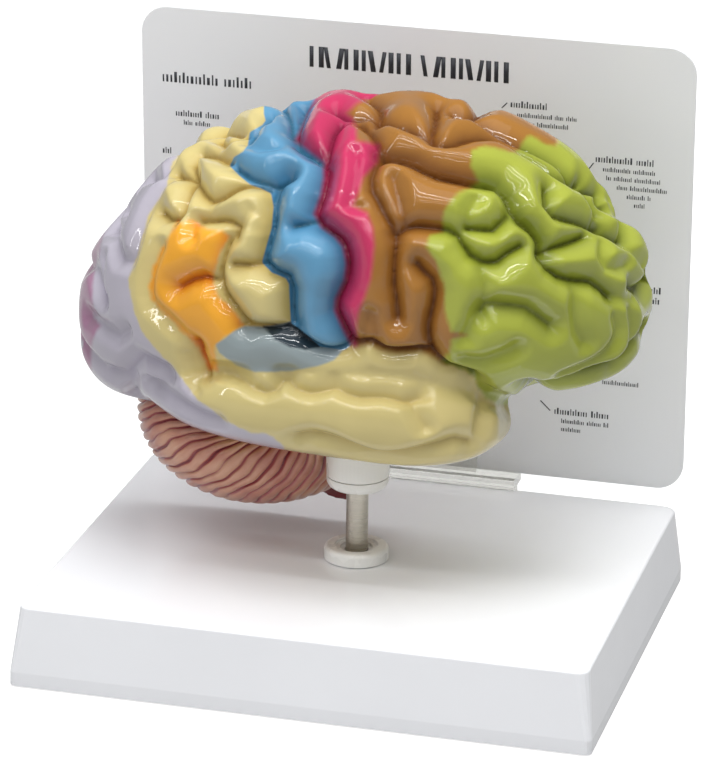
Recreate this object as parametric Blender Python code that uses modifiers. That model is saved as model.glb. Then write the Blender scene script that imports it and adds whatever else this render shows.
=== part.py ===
"""Desk model of the right half of a brain.

A painted cast swivels on a post over a moulded base. A card stands behind it in a clear clip. Sizes
are in millimetres and the objects in metres. X runs from the back of the brain to its front, Y from
its outer side to the card, and Z up. Inside, pieces are drawn from the middle of the base's bottom,
and an empty then moves them so that the origin is the middle of the whole footprint.
"""

from math import atan2, cos, floor, hypot, pi, radians, sin, tan

import bmesh
import bpy
import numpy as np
from mathutils import Matrix, Vector
from mathutils.bvhtree import BVHTree

MM = 0.001
GAP = 0.3  # between two pieces that touch

# Base tray
BASE_WIDTH, BASE_DEPTH, BASE_HEIGHT = 165.0, 133.0, 23.0
BASE_TAPER = 2.0  # how far each wall leans in above the skirt
BASE_SKIRT = 4.0
BASE_WALL = 2.5
BASE_CORNER = 1.8
BASE_EDGE = 0.8
BOSS_RADIUS, BOSS_BOTTOM = 8.0, 9.0  # screw boss under the top plate

# Post, its foot and its screw
POST_X, POST_Y = 0.0, -1.5
POST_RADIUS, POST_CHAMFER = 3.15, 0.6
FOOT_RADIUS, FOOT_HEIGHT, FOOT_ROUND = 9.3, 3.7, 1.2
FOOT_RECESS_RADIUS, FOOT_RECESS_DEPTH, FOOT_STEP = 6.2, 1.4, 1.2
SCREW_RADIUS, SCREW_GRIP, SCREW_HEAD_RADIUS, SCREW_HEAD_HEIGHT = 1.9, 12.0, 3.8, 2.8
WASHER_RADIUS, WASHER_THICKNESS = 4.8, 0.8

# Swivel
SEAM_HEIGHT = 48.2
DISC_RADIUS, DISC_THICKNESS, DISC_ROUND = 8.9, 3.6, 2.6
SOCKET_TOP_RADIUS, SOCKET_TOP = 9.3, 68.0
SPIGOT_LENGTH = 12.0  # of the post, above the seam
SPIN_CLEARANCE = 0.1  # between the post and the bores that turn on it

# Card and its clip
CARD_WIDTH, CARD_HEIGHT, CARD_THICKNESS, CARD_CORNER = 165.0, 136.4, 1.0, 8.0
CARD_X, CARD_LEAN = -1.5, radians(3.0)
CLIP_WIDTH, CLIP_DEPTH, CLIP_THICKNESS = 63.0, 9.8, 2.9
CLIP_OVERLAP = 3.7  # how far the clip reaches over the tray's rear edge
CLIP_FRONT = BASE_DEPTH / 2 - CLIP_OVERLAP
CLIP_LEG_THICKNESS, CLIP_LEG_LENGTH = 2.0, 16.0
CLIP_BACK_THICKNESS, CLIP_BACK_HEIGHT = 1.2, 9.0
CARD_SETBACK = 6.4  # from the clip's front edge to the card's front face
LIP_WIDTH, LIP_THICKNESS, LIP_FOOT, LIP_HEIGHT = 38.0, 0.8, 3.4, 5.2
TAPE_THICKNESS, TAPE_MARGIN = 0.9, 1.5

# Brain
MIDLINE = 26.0  # Y of the flat inner side
LOBE_VOXEL, CEREBRUM_TRIANGLES = 1.5, 6800
FOLD_BLEND = 3.0  # how softly one fold runs into the next
FOLD_STEEPNESS, FULL_DEPTH = 0.7, 4.8  # how much of a deep fold is a sharp crease, and the depth of that
FOLD_SWELL, FOLD_REACH = 0.25, 1.6  # roundness of the crowns: its share of the depth, and how far it reaches
FOLD_SEEN = 0.7  # share of a fold's depth that is wide enough to see into
FOLD_SLIP = 2.5  # most that a fold's mouth lies off the line to its bottom
CEREBELLUM_CENTRE = (-35.5, MIDLINE, 56.0)
CEREBELLUM_REACH, CEREBELLUM_WIDTH, CEREBELLUM_RISE, CEREBELLUM_DROP = 34.5, 44.0, 18.0, 25.5
CEREBELLUM_TILT, CEREBELLUM_SWEEP = 0.10, 0.08  # its front end hangs lower, its outer side lies further back
CEREBELLUM_HUB = (0.60, -0.40, 0.69)  # direction of the point that its grooves fan out from
LEAVES, LEAF_DEPTH, LEAF_RINGS, LEAF_WAVE = 56, 1.2, 11, 0.03
STEM_TOP, STEM_FOOT = (-3.0, 70.0), (-13.0, 32.0)  # X and Z of the medulla's axis
STEM_TOP_RADIUS, STEM_FOOT_RADIUS = 9.0, 6.5
PONS_CENTRE, PONS_SIZE = (0.0, 62.0), (11.0, 17.0, 12.0)

# Where the folds of the outer side are drawn from: a viewer in front, a little to the right and above.
# U runs right and V up on the plane that faces the viewer and passes through VIEW_CENTRE.
VIEW_EYE = Vector((281.9, -1107.6, 480.5))
VIEW_CENTRE = Vector((0.0, 0.0, 100.0))
VIEW_AZIMUTH, VIEW_ELEVATION, VIEW_ROLL = radians(14.36), radians(19.54), radians(0.97)


class Section:
    """One slice across a lobe: a rounded oval, flatter on its inner side."""

    def __init__(self, x, top, bottom, outer, inner=MIDLINE, rounding=11.0, squareness=2.35):
        self.x, self.top, self.bottom = x, top, bottom
        self.outer, self.inner, self.rounding, self.squareness = outer, inner, rounding, squareness

    def ring(self, count=48):
        crown = self.inner - self.rounding
        middle = self.bottom + 0.47 * (self.top - self.bottom)
        points = []
        for i in range(count):
            across, up = cos(2 * pi * i / count), sin(2 * pi * i / count)
            power = 2 / (5.0 if across > 0 else self.squareness)
            width = self.rounding if across > 0 else crown - self.outer
            height = self.top - middle if up > 0 else middle - self.bottom
            y = crown + width * abs(across) ** power * (1 if across > 0 else -1)
            z = middle + height * abs(up) ** power * (1 if up > 0 else -1)
            points.append(Vector((self.x, y, z)))
        return points


# Slices of the two forms that the cerebrum is blocked out from, back to front:
# X, top, bottom and outermost Y.
MANTLE = [
    Section(-86.8, 93.5, 74, 11, rounding=6),
    Section(-83.5, 103, 67.5, 1, rounding=8),
    Section(-75, 114.5, 63, -11),
    Section(-62, 131.5, 61.5, -22),
    Section(-46, 143.5, 62, -31),
    Section(-28, 152, 63, -36),
    Section(-8, 155.5, 66, -38),
    Section(10, 156.5, 70, -38),
    Section(28, 155, 73, -36),
    Section(43, 149.5, 74.5, -31.5),
    Section(56, 142, 77.3, -25),
    Section(66, 131.5, 79.2, -15.5),
    Section(74.3, 120.5, 84, -5),
    Section(78.3, 110.5, 91, 6, rounding=8),
]
TEMPORAL = [
    Section(-58, 84, 65, -16, 14),
    Section(-44, 92, 61.5, -31, 18),
    Section(-26, 97, 59, -38, 20),
    Section(-4, 99, 57.6, -40, 20),
    Section(16, 98, 57.3, -39.5, 18),
    Section(28, 93, 58.8, -36.5, 14),
    Section(38, 87.5, 61.8, -30.5, 9, 8),
    Section(44.5, 80, 67, -21, 2, 6),
]


class Fold:
    """A sulcus: how wide and deep it is, the side it is drawn from, and its course.

    A steep one is a sharp crease between round crowns. The others are soft dips.
    """

    def __init__(self, course, radius=7.0, depth=4.8, side="outer"):
        self.course, self.radius, self.depth, self.side = course, radius, depth, side
        self.steepness = FOLD_STEEPNESS * min(1.0, depth / FULL_DEPTH) ** 2


def deep(*course, side="outer"):
    return Fold(course, 8.0, 6.6, side)


def plain(*course, side="outer"):
    return Fold(course, side=side)


def faint(*course, side="outer"):
    return Fold(course, 5.0, 2.2, side)


OUTER_FOLDS = {
    "lateral_fissure": Fold(
        [(-33, -7.2), (-28, -7.6), (-22, -7.9), (-18.5, -9.2), (-15, -11.6), (-11, -13.4), (-5, -13.8),
         (-1.5, -12.6), (2.5, -11.6), (6, -13.4), (10, -14), (16, -13.6), (19.5, -14.8), (23, -17.6),
         (28, -19.2), (30.8, -20.8)], 5.0, 5.0),
    "fissure_stem": faint((30.8, -20.8), (32.3, -24), (34, -27.6), (37.5, -29.5), (42, -29.6)),
    "central": deep(
        (-15.5, 57.5), (-17.3, 53), (-18.8, 48), (-18.2, 44.6), (-14, 41.3), (-10.3, 38.4), (-10.3, 34),
        (-11.2, 29), (-13, 24), (-11, 20.5), (-7.5, 18.2), (-5, 15), (-4, 10), (-4.6, 5), (-7, 0),
        (-7.3, -3), (-5.5, -7), (-3, -12)),
    "postcentral_upper": plain((-26.3, 54), (-26.6, 50.5), (-27.8, 48.4), (-30.6, 47.2), (-31.5, 44.3)),
    "postcentral": deep(
        (-20.5, 34.5), (-23.8, 32), (-24.6, 27), (-25, 21), (-26.6, 15), (-27.4, 10.2), (-24.5, 7.8),
        (-21, 6.4), (-19.8, 3), (-19.8, -2), (-19.3, -6.5)),
    "postcentral_cross": plain((-35.5, 37.2), (-32, 34.6), (-28.5, 33.4), (-25, 32.6), (-21.5, 34.6)),
    "postcentral_dimple": faint((-32, 43.2), (-28, 42.6), (-23.8, 43)),
    "postcentral_branch": plain((-19, 20.6), (-16, 21.2), (-13, 22.4)),
    "precentral_upper": plain((-1, 50), (2.6, 47.2), (5.2, 42.4), (5.8, 40.5)),
    "precentral": plain(
        (5.7, 40.4), (3.7, 37.5), (2.5, 34), (2.8, 30.5), (4.5, 27.5), (6.2, 24), (8.2, 20.5), (9.3, 17.5),
        (8.9, 10), (8.8, 4), (9.6, -1), (9.9, -5)),
    "precentral_gyrus_knuckle": plain((-6, 49.6), (-8, 47), (-9, 43.5), (-9.9, 40)),
    "precentral_gyrus_side": faint((-1.6, 41), (-1.8, 36), (-2.1, 33), (-2.6, 29.5), (-3, 26.6), (0, 26.3)),
    "precentral_top": plain((-7.5, 53), (-4, 51.3), (0, 51.4), (4.5, 51.4), (9, 49.4), (12, 48.4),
                            (16, 46.7),
                            (19.2, 45.4)),
    "superior_frontal_notch": plain((21, 54), (20.6, 50), (19.6, 46), (20.8, 43.6), (25, 43.6), (29, 45),
                                    (34, 45.5), (38, 44.6), (42, 42.6), (45.5, 40.4), (49.5, 38), (53, 35.4),
                                    (57, 33), (61, 31.6), (66, 29.6), (70, 27)),
    "frontal_notch": plain((63.2, 34.6), (60.5, 32.2)),
    "superior_frontal": deep(
        (5.8, 40.6), (10, 40), (14, 38.8), (18, 36.6), (21.5, 35), (26, 34), (30, 33.2), (34, 32.6),
        (38, 31.8), (40.8, 29), (42.2, 25), (44.3, 22), (47.5, 19.5), (49.8, 16), (50.3, 12.5)),
    "middle_frontal_curl": Fold([(8.6, 34.2), (9.3, 31), (10.4, 27), (11.4, 23.4), (12, 20.6)], 5.5, 3.2),
    "middle_frontal_lower": plain((9.3, 18), (12, 20), (16, 20.5), (20, 20.1), (24, 19.6), (27, 18),
                                  (28.4, 15.2),
                                  (30.4, 12.4), (33.5, 10.6), (38, 10.6), (41, 13), (44.5, 15)),
    "round_lump_foot": plain((29.5, 20), (33, 19.7), (36.8, 19.5), (39, 21.6), (41, 23.6)),
    "round_lump_side": faint((30, 20.5), (30.2, 24.5), (32, 28)),
    "frontal_cross": plain((51.6, 31), (51.7, 26), (53.6, 23.7), (58, 22.5), (62, 21.5), (64.6, 20.2),
                           (67, 20.3)),
    "frontal_cross_lower": plain((50.6, 13), (54.5, 14.7), (58.5, 16), (62.5, 17.8)),
    "frontal_step": plain((50.5, 12), (52, 8.6), (55, 6.4), (60, 5.3), (64, 5), (67, 3), (69.5, 0.6)),
    "frontal_step_upper": faint((67.3, 16), (67.3, 12), (68.6, 9), (71.4, 8.6), (74.2, 9.6)),
    "frontal_rim": faint((69.5, 28), (72.4, 22), (74, 17), (76.4, 12.8), (79, 9.4), (80.6, 8)),
    "frontal_pole_step": faint((69.5, 0.6), (73, 0.6), (76.5, 0.2)),
    "frontal_lump_back": faint((59.8, 3.5), (59.8, -1), (59.8, -5), (60.6, -9), (62.2, -12)),
    "frontal_lump_front": faint((71, -4.6), (71.6, -8.6), (70.2, -12.6), (67, -16), (62, -18.6),
                                (56, -20.8)),
    "frontal_pole_rim": faint((75, -3), (75.6, -8), (74.6, -13), (72.4, -16.4), (70, -18.4)),
    "orbital_margin": plain((45.5, -25), (49, -22.8), (53, -22.6), (57.5, -22), (62, -20.2),
                            (66, -18.9), (70, -18.3)),
    "orbital_notch": faint((50, -28.4), (47.6, -25.6), (45.6, -24.4)),
    "inferior_frontal": Fold([(33.2, -3.6), (34.6, -1.6), (40, -1.8), (46, -2.6), (49, -4.6),
                             (52.5, -7.2)], 6.5, 3.8),
    "inferior_frontal_rise": faint((33.4, 8), (34.1, 4), (34, 0), (33, -3.4), (31, -6.6), (28.8, -10.6)),
    "inferior_frontal_ramus": faint((29, -16.8), (33, -17.2), (37, -16.2), (41, -14.6), (43, -13.4)),
    "opercular": plain((15.4, 10), (17.2, 7.8), (19.6, 5.6), (20.4, 2.6), (19.8, -2), (18.6, -7),
                       (18.7, -11),
                       (19.6, -14.4)),
    "opercular_short_a": faint((1.7, -4), (1.1, -8), (0.2, -11.4)),
    "opercular_short_b": faint((3, -5), (3.5, -8), (3.9, -11.6)),
    "superior_temporal": Fold(
        [(-41, -20.3), (-36, -20.8), (-33, -22.6), (-30, -24.9), (-27, -26), (-24.5, -25), (-22.2, -22.3),
         (-20.3, -22), (-18.3, -24.6), (-14, -26), (-10.5, -25.2), (-7.5, -24.4), (-4.5, -26), (-0.5, -27.2),
         (4, -27), (8, -27.4), (12, -28.3), (16, -27.5)], 6.0, 3.4),
    "superior_temporal_end": faint((13.6, -28.5), (15.2, -31.6), (17.6, -35.6)),
    "superior_temporal_back": faint((-48.4, -15.6), (-46.8, -20), (-46.6, -25)),
    "inferior_temporal": Fold(
        [(-17.5, -38.2), (-13.5, -37.6), (-10, -38.3), (-6, -39.7), (-2, -41.1), (3, -42.4), (8, -42.9),
         (13, -42.6), (18, -41.5), (22, -40.4), (26, -39.1), (30, -39.7)], 6.0, 3.0),
    "temporal_pole": faint((33.6, -29), (32.8, -33), (32.2, -37)),
    "intraparietal": plain((-37.2, 17), (-39.2, 11), (-39.8, 6), (-38.3, 1.5), (-35.3, -2.5), (-32.3, -6.8)),
    "angular_cross": plain((-51, 3.6), (-47.5, 5.6), (-44, 6.4), (-40.6, 5.2)),
    "angular_slot": faint((-47.6, 22.4), (-47.6, 17.8)),
    "angular_top": plain((-45.5, 22), (-41, 22.2), (-37, 22), (-34.6, 20.4), (-35.6, 17.6)),
    "angular_foot": plain((-46, -12), (-44.6, -16), (-43, -20.4)),
    "angular_back": faint((-56.4, 14.6), (-58.6, 9), (-59.4, 3.6), (-58.6, -1), (-54.4, -5),
                          (-50, -9.6), (-46, -13.6)),
    "parietal_cross": plain((-53.8, 37.4), (-51, 35), (-47.6, 34.4), (-45.8, 31.4), (-44, 29), (-42.2, 27.6),
                            (-38.6, 29), (-35, 31.2), (-31, 32.2), (-26.4, 31.4)),
    "parietal_upper": plain((-47.4, 35), (-47.6, 38.6), (-45.4, 41), (-42, 41), (-39.4, 40), (-37, 38.7)),
    "parietal_top": plain((-40.6, 48), (-40.4, 45.2), (-38.6, 43.6), (-35.8, 44.6), (-33, 46.2)),
    "parietal_top_lower": faint((-40.4, 44.6), (-39.6, 42), (-38.6, 40)),
    "parietal_lump": plain((-48, 33), (-49.3, 28), (-50.2, 24.4), (-51.8, 22.6), (-54.4, 22.8),
                           (-56.4, 24.6)),
    "parietal_lump_front": faint((-45.4, 22.6), (-43.2, 25), (-41.8, 27.4)),
    "supramarginal_floor": plain((-36.2, 9.8), (-32, 9.6), (-27.6, 9.8)),
    "supramarginal_curl": faint((-34, 22), (-31.4, 25), (-29, 23.6), (-29.6, 20)),
    "occipital_rim": faint((-52, 41.6), (-56, 36.8), (-60, 31.8), (-63.6, 27), (-67, 23)),
    "occipital_rim_inner": faint((-54.4, 33), (-58, 28), (-60.4, 23), (-62.2, 17), (-63.6, 12.6)),
    "occipital_upper": plain((-69.4, 19.6), (-68.2, 15), (-67.2, 11.4), (-64.4, 10.6)),
    "occipital_side": faint((-72, 11), (-72.8, 5), (-72.4, -1)),
    "occipital_cross": faint((-76, -4.4), (-74.4, -5.4), (-72.2, -7.4), (-70, -8.8), (-68, -9.9),
                             (-65.6, -8.6)),
    "occipital_lower": Fold(
        [(-70, -19.8), (-65.8, -20.6), (-63.8, -18.6), (-61.4, -15.8), (-58.4, -17.4),
        (-54.4, -19.4)], 6.0, 3.2),
    "occipital_foot": faint((-64, -21), (-64.2, -24), (-62, -27.6), (-60, -29.4)),
    "occipital_temporal": faint((-59, -22.4), (-54.6, -25.4), (-50, -28.9), (-45, -31.8), (-40, -33.4)),
}

# Folds of the sides that the viewer doesn't see, drawn square on to each side. The two coordinates are
# X and Z on the inner side, X and Y from above and below, and Y and Z from the back and the front.
HIDDEN_FOLDS = {
    "callosal": deep((-28, 99), (-30, 106), (-24, 113), (-10, 117), (8, 118), (22, 116), (32, 110),
                     (34, 102),
                     (28, 97), side="inner"),
    "cingulate": deep((26, 84), (42, 92), (50, 104), (48, 117), (36, 128), (16, 132), (-6, 132), (-24, 130),
                      (-31, 138), (-32, 147), side="inner"),
    "subparietal": plain((-31, 131), (-40, 124), (-44, 116), (-40, 108), side="inner"),
    "parieto_occipital": deep((-58, 131), (-52, 118), (-48, 106), (-43, 96), side="inner"),
    "calcarine": deep((-82, 84), (-72, 91), (-60, 92), (-48, 97), (-36, 94), side="inner"),
    "lingual": plain((-76, 75), (-60, 79), (-42, 82), (-28, 80), side="inner"),
    "cuneus": plain((-74, 101), (-66, 108), (-60, 104), side="inner"),
    "precuneus": plain((-47, 134), (-42, 127), side="inner"),
    "paracentral": plain((2, 152), (0, 144), (-8, 138), side="inner"),
    "medial_frontal_a": plain((20, 152), (24, 143), (34, 138), (46, 138), side="inner"),
    "medial_frontal_b": plain((58, 134), (60, 122), (66, 112), side="inner"),
    "medial_frontal_c": plain((72, 100), (62, 98), (58, 90), (44, 84), side="inner"),
    "fornix": plain((-22, 97), (-10, 104), (8, 107), (20, 103), (24, 96), side="inner"),
    "thalamus": plain((-20, 90), (-12, 97), (2, 98), (10, 92), (6, 84), (-8, 81), (-20, 90), side="inner"),
    "top_central": plain((-20, -4), (-24, 8), (-29, 20), side="top"),
    "top_precentral": plain((4, -2), (2, 10), (-4, 18), side="top"),
    "top_frontal_a": plain((22, 12), (36, 8), (52, 10), (64, 8), side="top"),
    "top_frontal_b": plain((26, 24), (28, 16), (24, 8), side="top"),
    "top_parietal": plain((-36, 2), (-44, 12), (-52, 12), (-58, 22), side="top"),
    "top_parietal_b": plain((-42, 22), (-46, 13), side="top"),
    "back_upper": plain((18, 118), (8, 112), (-4, 116), side="back"),
    "back_middle": plain((22, 100), (10, 98), (0, 102), (-12, 96), side="back"),
    "back_lower": plain((22, 82), (12, 84), (2, 78), (-8, 76), side="back"),
    "front_upper": plain((22, 124), (12, 120), (4, 126), side="front"),
    "front_middle": plain((24, 108), (14, 106), (6, 110), side="front"),
    "front_lower": plain((22, 92), (12, 93), (2, 88), (-8, 86), side="front"),
    "olfactory": plain((68, 19), (54, 20), (40, 20), (28, 18), side="under"),
    "orbital_a": plain((62, 6), (52, 8), (44, 2), (36, 4), side="under"),
    "orbital_b": plain((52, -12), (50, -2), (52, 8), side="under"),
    "collateral": plain((26, 2), (12, 4), (-6, 6), (-24, 8), (-40, 10), side="under"),
    "occipitotemporal": plain((28, -12), (14, -16), (-8, -18), (-28, -16), (-46, -8), side="under"),
}


def material(name, color, roughness, metallic=0.0):
    made = bpy.data.materials.new(name)
    made.use_nodes = True
    shader = made.node_tree.nodes["Principled BSDF"]
    shader.inputs["Base Color"].default_value = (*color, 1.0)
    shader.inputs["Roughness"].default_value = roughness
    shader.inputs["Metallic"].default_value = metallic
    return made


def work_object(mesh, name="work"):
    obj = bpy.data.objects.new(name, mesh)
    bpy.context.scene.collection.objects.link(obj)
    return obj


def mesh_from(bm, name="work"):
    mesh = bpy.data.meshes.new(name)
    bm.to_mesh(mesh)
    bm.free()
    return mesh


def evaluated_mesh(obj):
    """The object's mesh with its modifiers; the object itself goes."""
    graph = bpy.context.evaluated_depsgraph_get()
    mesh = bpy.data.meshes.new_from_object(obj.evaluated_get(graph))
    bpy.data.objects.remove(obj)
    return mesh


def combined(mesh, other, operation):
    """A Boolean of two meshes, as one mesh."""
    obj, tool = work_object(mesh), work_object(other)
    boolean = obj.modifiers.new("combine", "BOOLEAN")
    boolean.operation, boolean.solver, boolean.object = operation, "EXACT", tool
    result = evaluated_mesh(obj)
    bpy.data.objects.remove(tool)
    return result


def thinned(mesh, triangles):
    """The mesh with fewer faces, most of them where it curves."""
    now = sum(len(polygon.vertices) - 2 for polygon in mesh.polygons)
    obj = work_object(mesh)
    decimate = obj.modifiers.new("thin", "DECIMATE")
    decimate.ratio, decimate.use_collapse_triangulate = triangles / now, True
    return evaluated_mesh(obj)


def outer_skin(mesh, size=0.04):
    """The mesh without the closed pockets and the slivers that a Boolean leaves along its seam."""
    bm = bmesh.new()
    bm.from_mesh(mesh)
    bmesh.ops.remove_doubles(bm, verts=bm.verts, dist=size)
    unseen, skins = set(bm.verts), []
    while unseen:
        skin, edge = set(), {next(iter(unseen))}
        while edge:
            skin |= edge
            edge = {line.other_vert(vert) for vert in edge for line in vert.link_edges} - skin
        skins.append(skin)
        unseen -= skin
    widest = max(skins, key=len)
    bmesh.ops.delete(bm, geom=[vert for vert in bm.verts if vert not in widest], context="VERTS")
    bmesh.ops.triangulate(bm, faces=bm.faces)
    bmesh.ops.dissolve_degenerate(bm, edges=bm.edges, dist=size / 4)
    bmesh.ops.triangulate(bm, faces=bm.faces)
    return mesh_from(bm)


def piece(name, mesh, finish, at=(0.0, 0.0, 0.0), tilt=0.0):
    """The finished object of one sub-part, from a mesh in millimetres."""
    mesh.transform(Matrix.Scale(MM, 4))
    mesh.name = name
    mesh.shade_smooth()
    mesh.set_sharp_from_angle(angle=radians(35))
    obj = bpy.data.objects.new(name, mesh)
    obj.location = Vector(at) * MM
    obj.rotation_euler.x = tilt
    obj.parent = stand
    obj.data.materials.clear()
    obj.data.materials.append(finish)
    collection.objects.link(obj)
    return obj


def box(low, high):
    bm = bmesh.new()
    bmesh.ops.create_cube(bm, size=1)
    low, high = Vector(low), Vector(high)
    bmesh.ops.transform(bm, matrix=Matrix.Translation((low + high) / 2) @ Matrix.Diagonal((*(high - low), 1)),
                        verts=bm.verts)
    return mesh_from(bm)


def cylinder(radius, bottom, top, x=0.0, y=0.0, top_radius=None, segments=48):
    bm = bmesh.new()
    place = Matrix.Translation((x, y, (bottom + top) / 2))
    bmesh.ops.create_cone(bm, cap_ends=True, segments=segments, radius1=radius,
                          radius2=radius if top_radius is None else top_radius, depth=top - bottom, matrix=place)
    return mesh_from(bm)


def turned(profile, steps=48):
    """A profile of (radius, height), down its outer side and back up its bore, spun about Z."""
    bm = bmesh.new()
    points = [bm.verts.new((radius, 0, height)) for radius, height in profile]
    for i, point in enumerate(points):
        following = points[(i + 1) % len(points)]
        if point.co.x > 0 or following.co.x > 0:
            bm.edges.new((point, following))
    obj = work_object(mesh_from(bm))
    spin = obj.modifiers.new("spin", "SCREW")
    spin.steps = spin.render_steps = steps
    spin.use_merge_vertices, spin.merge_threshold = True, 0.0001
    return evaluated_mesh(obj)


def prism(outline, width, middle=0.0):
    """An outline of (y, z), extruded along X to both sides of middle."""
    bm = bmesh.new()
    face = bm.faces.new([bm.verts.new((middle - width / 2, y, z)) for y, z in outline])
    grown = bmesh.ops.extrude_face_region(bm, geom=[face])
    moved = [item for item in grown["geom"] if isinstance(item, bmesh.types.BMVert)]
    bmesh.ops.translate(bm, verts=moved, vec=(width, 0, 0))
    bmesh.ops.recalc_face_normals(bm, faces=bm.faces)
    return mesh_from(bm)


def rounded_rectangle(width, depth, radius, per_corner=5):
    points = []
    for quarter, (sx, sy) in enumerate([(1, 1), (-1, 1), (-1, -1), (1, -1)]):
        for i in range(per_corner):
            angle = (quarter + i / (per_corner - 1)) * pi / 2
            points.append((sx * (width / 2 - radius) + radius * cos(angle),
                           sy * (depth / 2 - radius) + radius * sin(angle)))
    return points


def loft(rings):
    """A closed skin through rings with the same number of points, capped at both ends."""
    bm = bmesh.new()
    rows = [[bm.verts.new(point) for point in ring] for ring in rings]
    count = len(rows[0])
    for low, high in zip(rows, rows[1:]):
        for i in range(count):
            following = (i + 1) % count
            bm.faces.new((low[i], low[following], high[following], high[i]))
    bm.faces.new(reversed(rows[0]))
    bm.faces.new(rows[-1])
    bmesh.ops.recalc_face_normals(bm, faces=bm.faces)
    return mesh_from(bm)


def rounding_steps(radius, steps=4):
    """Inset and rise along a quarter round, from a side wall to a flat top."""
    return [(radius * (1 - cos(i * pi / 2 / steps)), radius * sin(i * pi / 2 / steps)) for i in range(steps + 1)]


# The base

def base_inset(height):
    """How far the outer wall has leant in at a height above the base's bottom."""
    return BASE_TAPER * max(0.0, height - BASE_SKIRT) / (BASE_HEIGHT - BASE_SKIRT)


def base_rings(wall, top, edge):
    """Rings of the tray's outer skin, or of its hollow when wall is above zero."""
    levels = [(0.0, -BASE_WALL if wall else 0.0)] + [(base_inset(z), z) for z in (BASE_SKIRT, top - edge)]
    levels += [(base_inset(top - edge) + inset, top - edge + rise) for inset, rise in rounding_steps(edge)[1:]]
    corner = max(BASE_CORNER - wall, 0.6)
    return [[(x, y, z) for x, y in rounded_rectangle(
        BASE_WIDTH - 2 * (inset + wall), BASE_DEPTH - 2 * (inset + wall), corner + inset)] for inset, z in levels]


def base_mesh():
    """A moulded tray, open below, with a screw boss under its top plate."""
    tray = combined(loft(base_rings(0.0, BASE_HEIGHT, BASE_EDGE)),
                    loft(base_rings(BASE_WALL, BASE_HEIGHT - BASE_WALL, BASE_EDGE)), "DIFFERENCE")
    plate = BASE_HEIGHT - BASE_WALL / 2
    tray = combined(tray, cylinder(BOSS_RADIUS, BOSS_BOTTOM, plate, POST_X, POST_Y), "UNION")
    bore = cylinder(SCREW_RADIUS + GAP, BOSS_BOTTOM - 1, BASE_HEIGHT + 1, POST_X, POST_Y)
    return combined(tray, bore, "DIFFERENCE")


# The post and what holds it

def post_foot_mesh():
    bore = POST_RADIUS + GAP
    floor_height = FOOT_HEIGHT - FOOT_RECESS_DEPTH
    profile = [(FOOT_RECESS_RADIUS, FOOT_HEIGHT)]
    profile += [(FOOT_RADIUS - inset, FOOT_HEIGHT - FOOT_ROUND + rise)
                for inset, rise in reversed(rounding_steps(FOOT_ROUND))]
    profile += [(FOOT_RADIUS, 0.0), (bore, 0.0), (bore, floor_height)]
    profile += [(bore + FOOT_STEP, floor_height), (bore + FOOT_STEP, floor_height + FOOT_RECESS_DEPTH / 2),
                (FOOT_RECESS_RADIUS, floor_height + FOOT_RECESS_DEPTH / 2)]
    return turned(profile)


def post_mesh():
    length = SEAM_HEIGHT + SPIGOT_LENGTH - BASE_HEIGHT - GAP
    bore, depth = SCREW_RADIUS + GAP, SCREW_GRIP + 2.0
    return turned([
        (0, length), (POST_RADIUS - POST_CHAMFER, length), (POST_RADIUS, length - POST_CHAMFER),
        (POST_RADIUS, POST_CHAMFER), (POST_RADIUS - POST_CHAMFER, 0), (bore, 0), (bore, depth),
        (0, depth + bore)])


def screw_mesh():
    """A pan head screw, from its head's rim up to its tip, with a cross recess."""
    seat = 0.0
    tip = BASE_HEIGHT - BOSS_BOTTOM + WASHER_THICKNESS + GAP + SCREW_GRIP
    shape = turned([
        (0, tip), (SCREW_RADIUS * 0.6, tip), (SCREW_RADIUS, tip - 1.0), (SCREW_RADIUS, seat),
        (SCREW_HEAD_RADIUS, seat), (SCREW_HEAD_RADIUS, seat - SCREW_HEAD_HEIGHT * 0.45),
        (SCREW_HEAD_RADIUS * 0.86, seat - SCREW_HEAD_HEIGHT * 0.85),
        (SCREW_HEAD_RADIUS * 0.5, seat - SCREW_HEAD_HEIGHT),
        (0, seat - SCREW_HEAD_HEIGHT)], 32)
    slot, low, high = 0.45, seat - SCREW_HEAD_HEIGHT - 1, seat - SCREW_HEAD_HEIGHT * 0.4
    reach = SCREW_HEAD_RADIUS * 0.55
    cross = combined(box((-reach, -slot, low), (reach, slot, high)), box((-slot, -reach, low),
    (slot, reach, high)),
                     "UNION")
    return combined(shape, cross, "DIFFERENCE")


def washer_mesh():
    return turned([(WASHER_RADIUS, WASHER_THICKNESS), (WASHER_RADIUS, 0), (SCREW_RADIUS + GAP, 0),
                   (SCREW_RADIUS + GAP, WASHER_THICKNESS)])


def disc_mesh():
    """The lower half of the round boss, rounded below, with its top on the seam."""
    bore = POST_RADIUS + SPIN_CLEARANCE
    profile = [(DISC_RADIUS - DISC_ROUND * (1 - cos(i * pi / 12)),
                -DISC_THICKNESS + DISC_ROUND * (1 - sin(i * pi / 12)))
               for i in range(7)]
    return turned([(bore, 0), (DISC_RADIUS, 0)] + profile + [(bore, -DISC_THICKNESS)])


def socket_mesh():
    """The upper half, bonded into the brain, with a blind bore for the post."""
    height = SOCKET_TOP - SEAM_HEIGHT - GAP
    bore, depth = POST_RADIUS + SPIN_CLEARANCE, SPIGOT_LENGTH + SPIN_CLEARANCE - GAP
    return turned([(0, height), (SOCKET_TOP_RADIUS - 1, height), (SOCKET_TOP_RADIUS, height - 1),
    (DISC_RADIUS, 0),
                   (bore, 0), (bore, depth), (0, depth + 1.2)])


# The card and its clip

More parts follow.
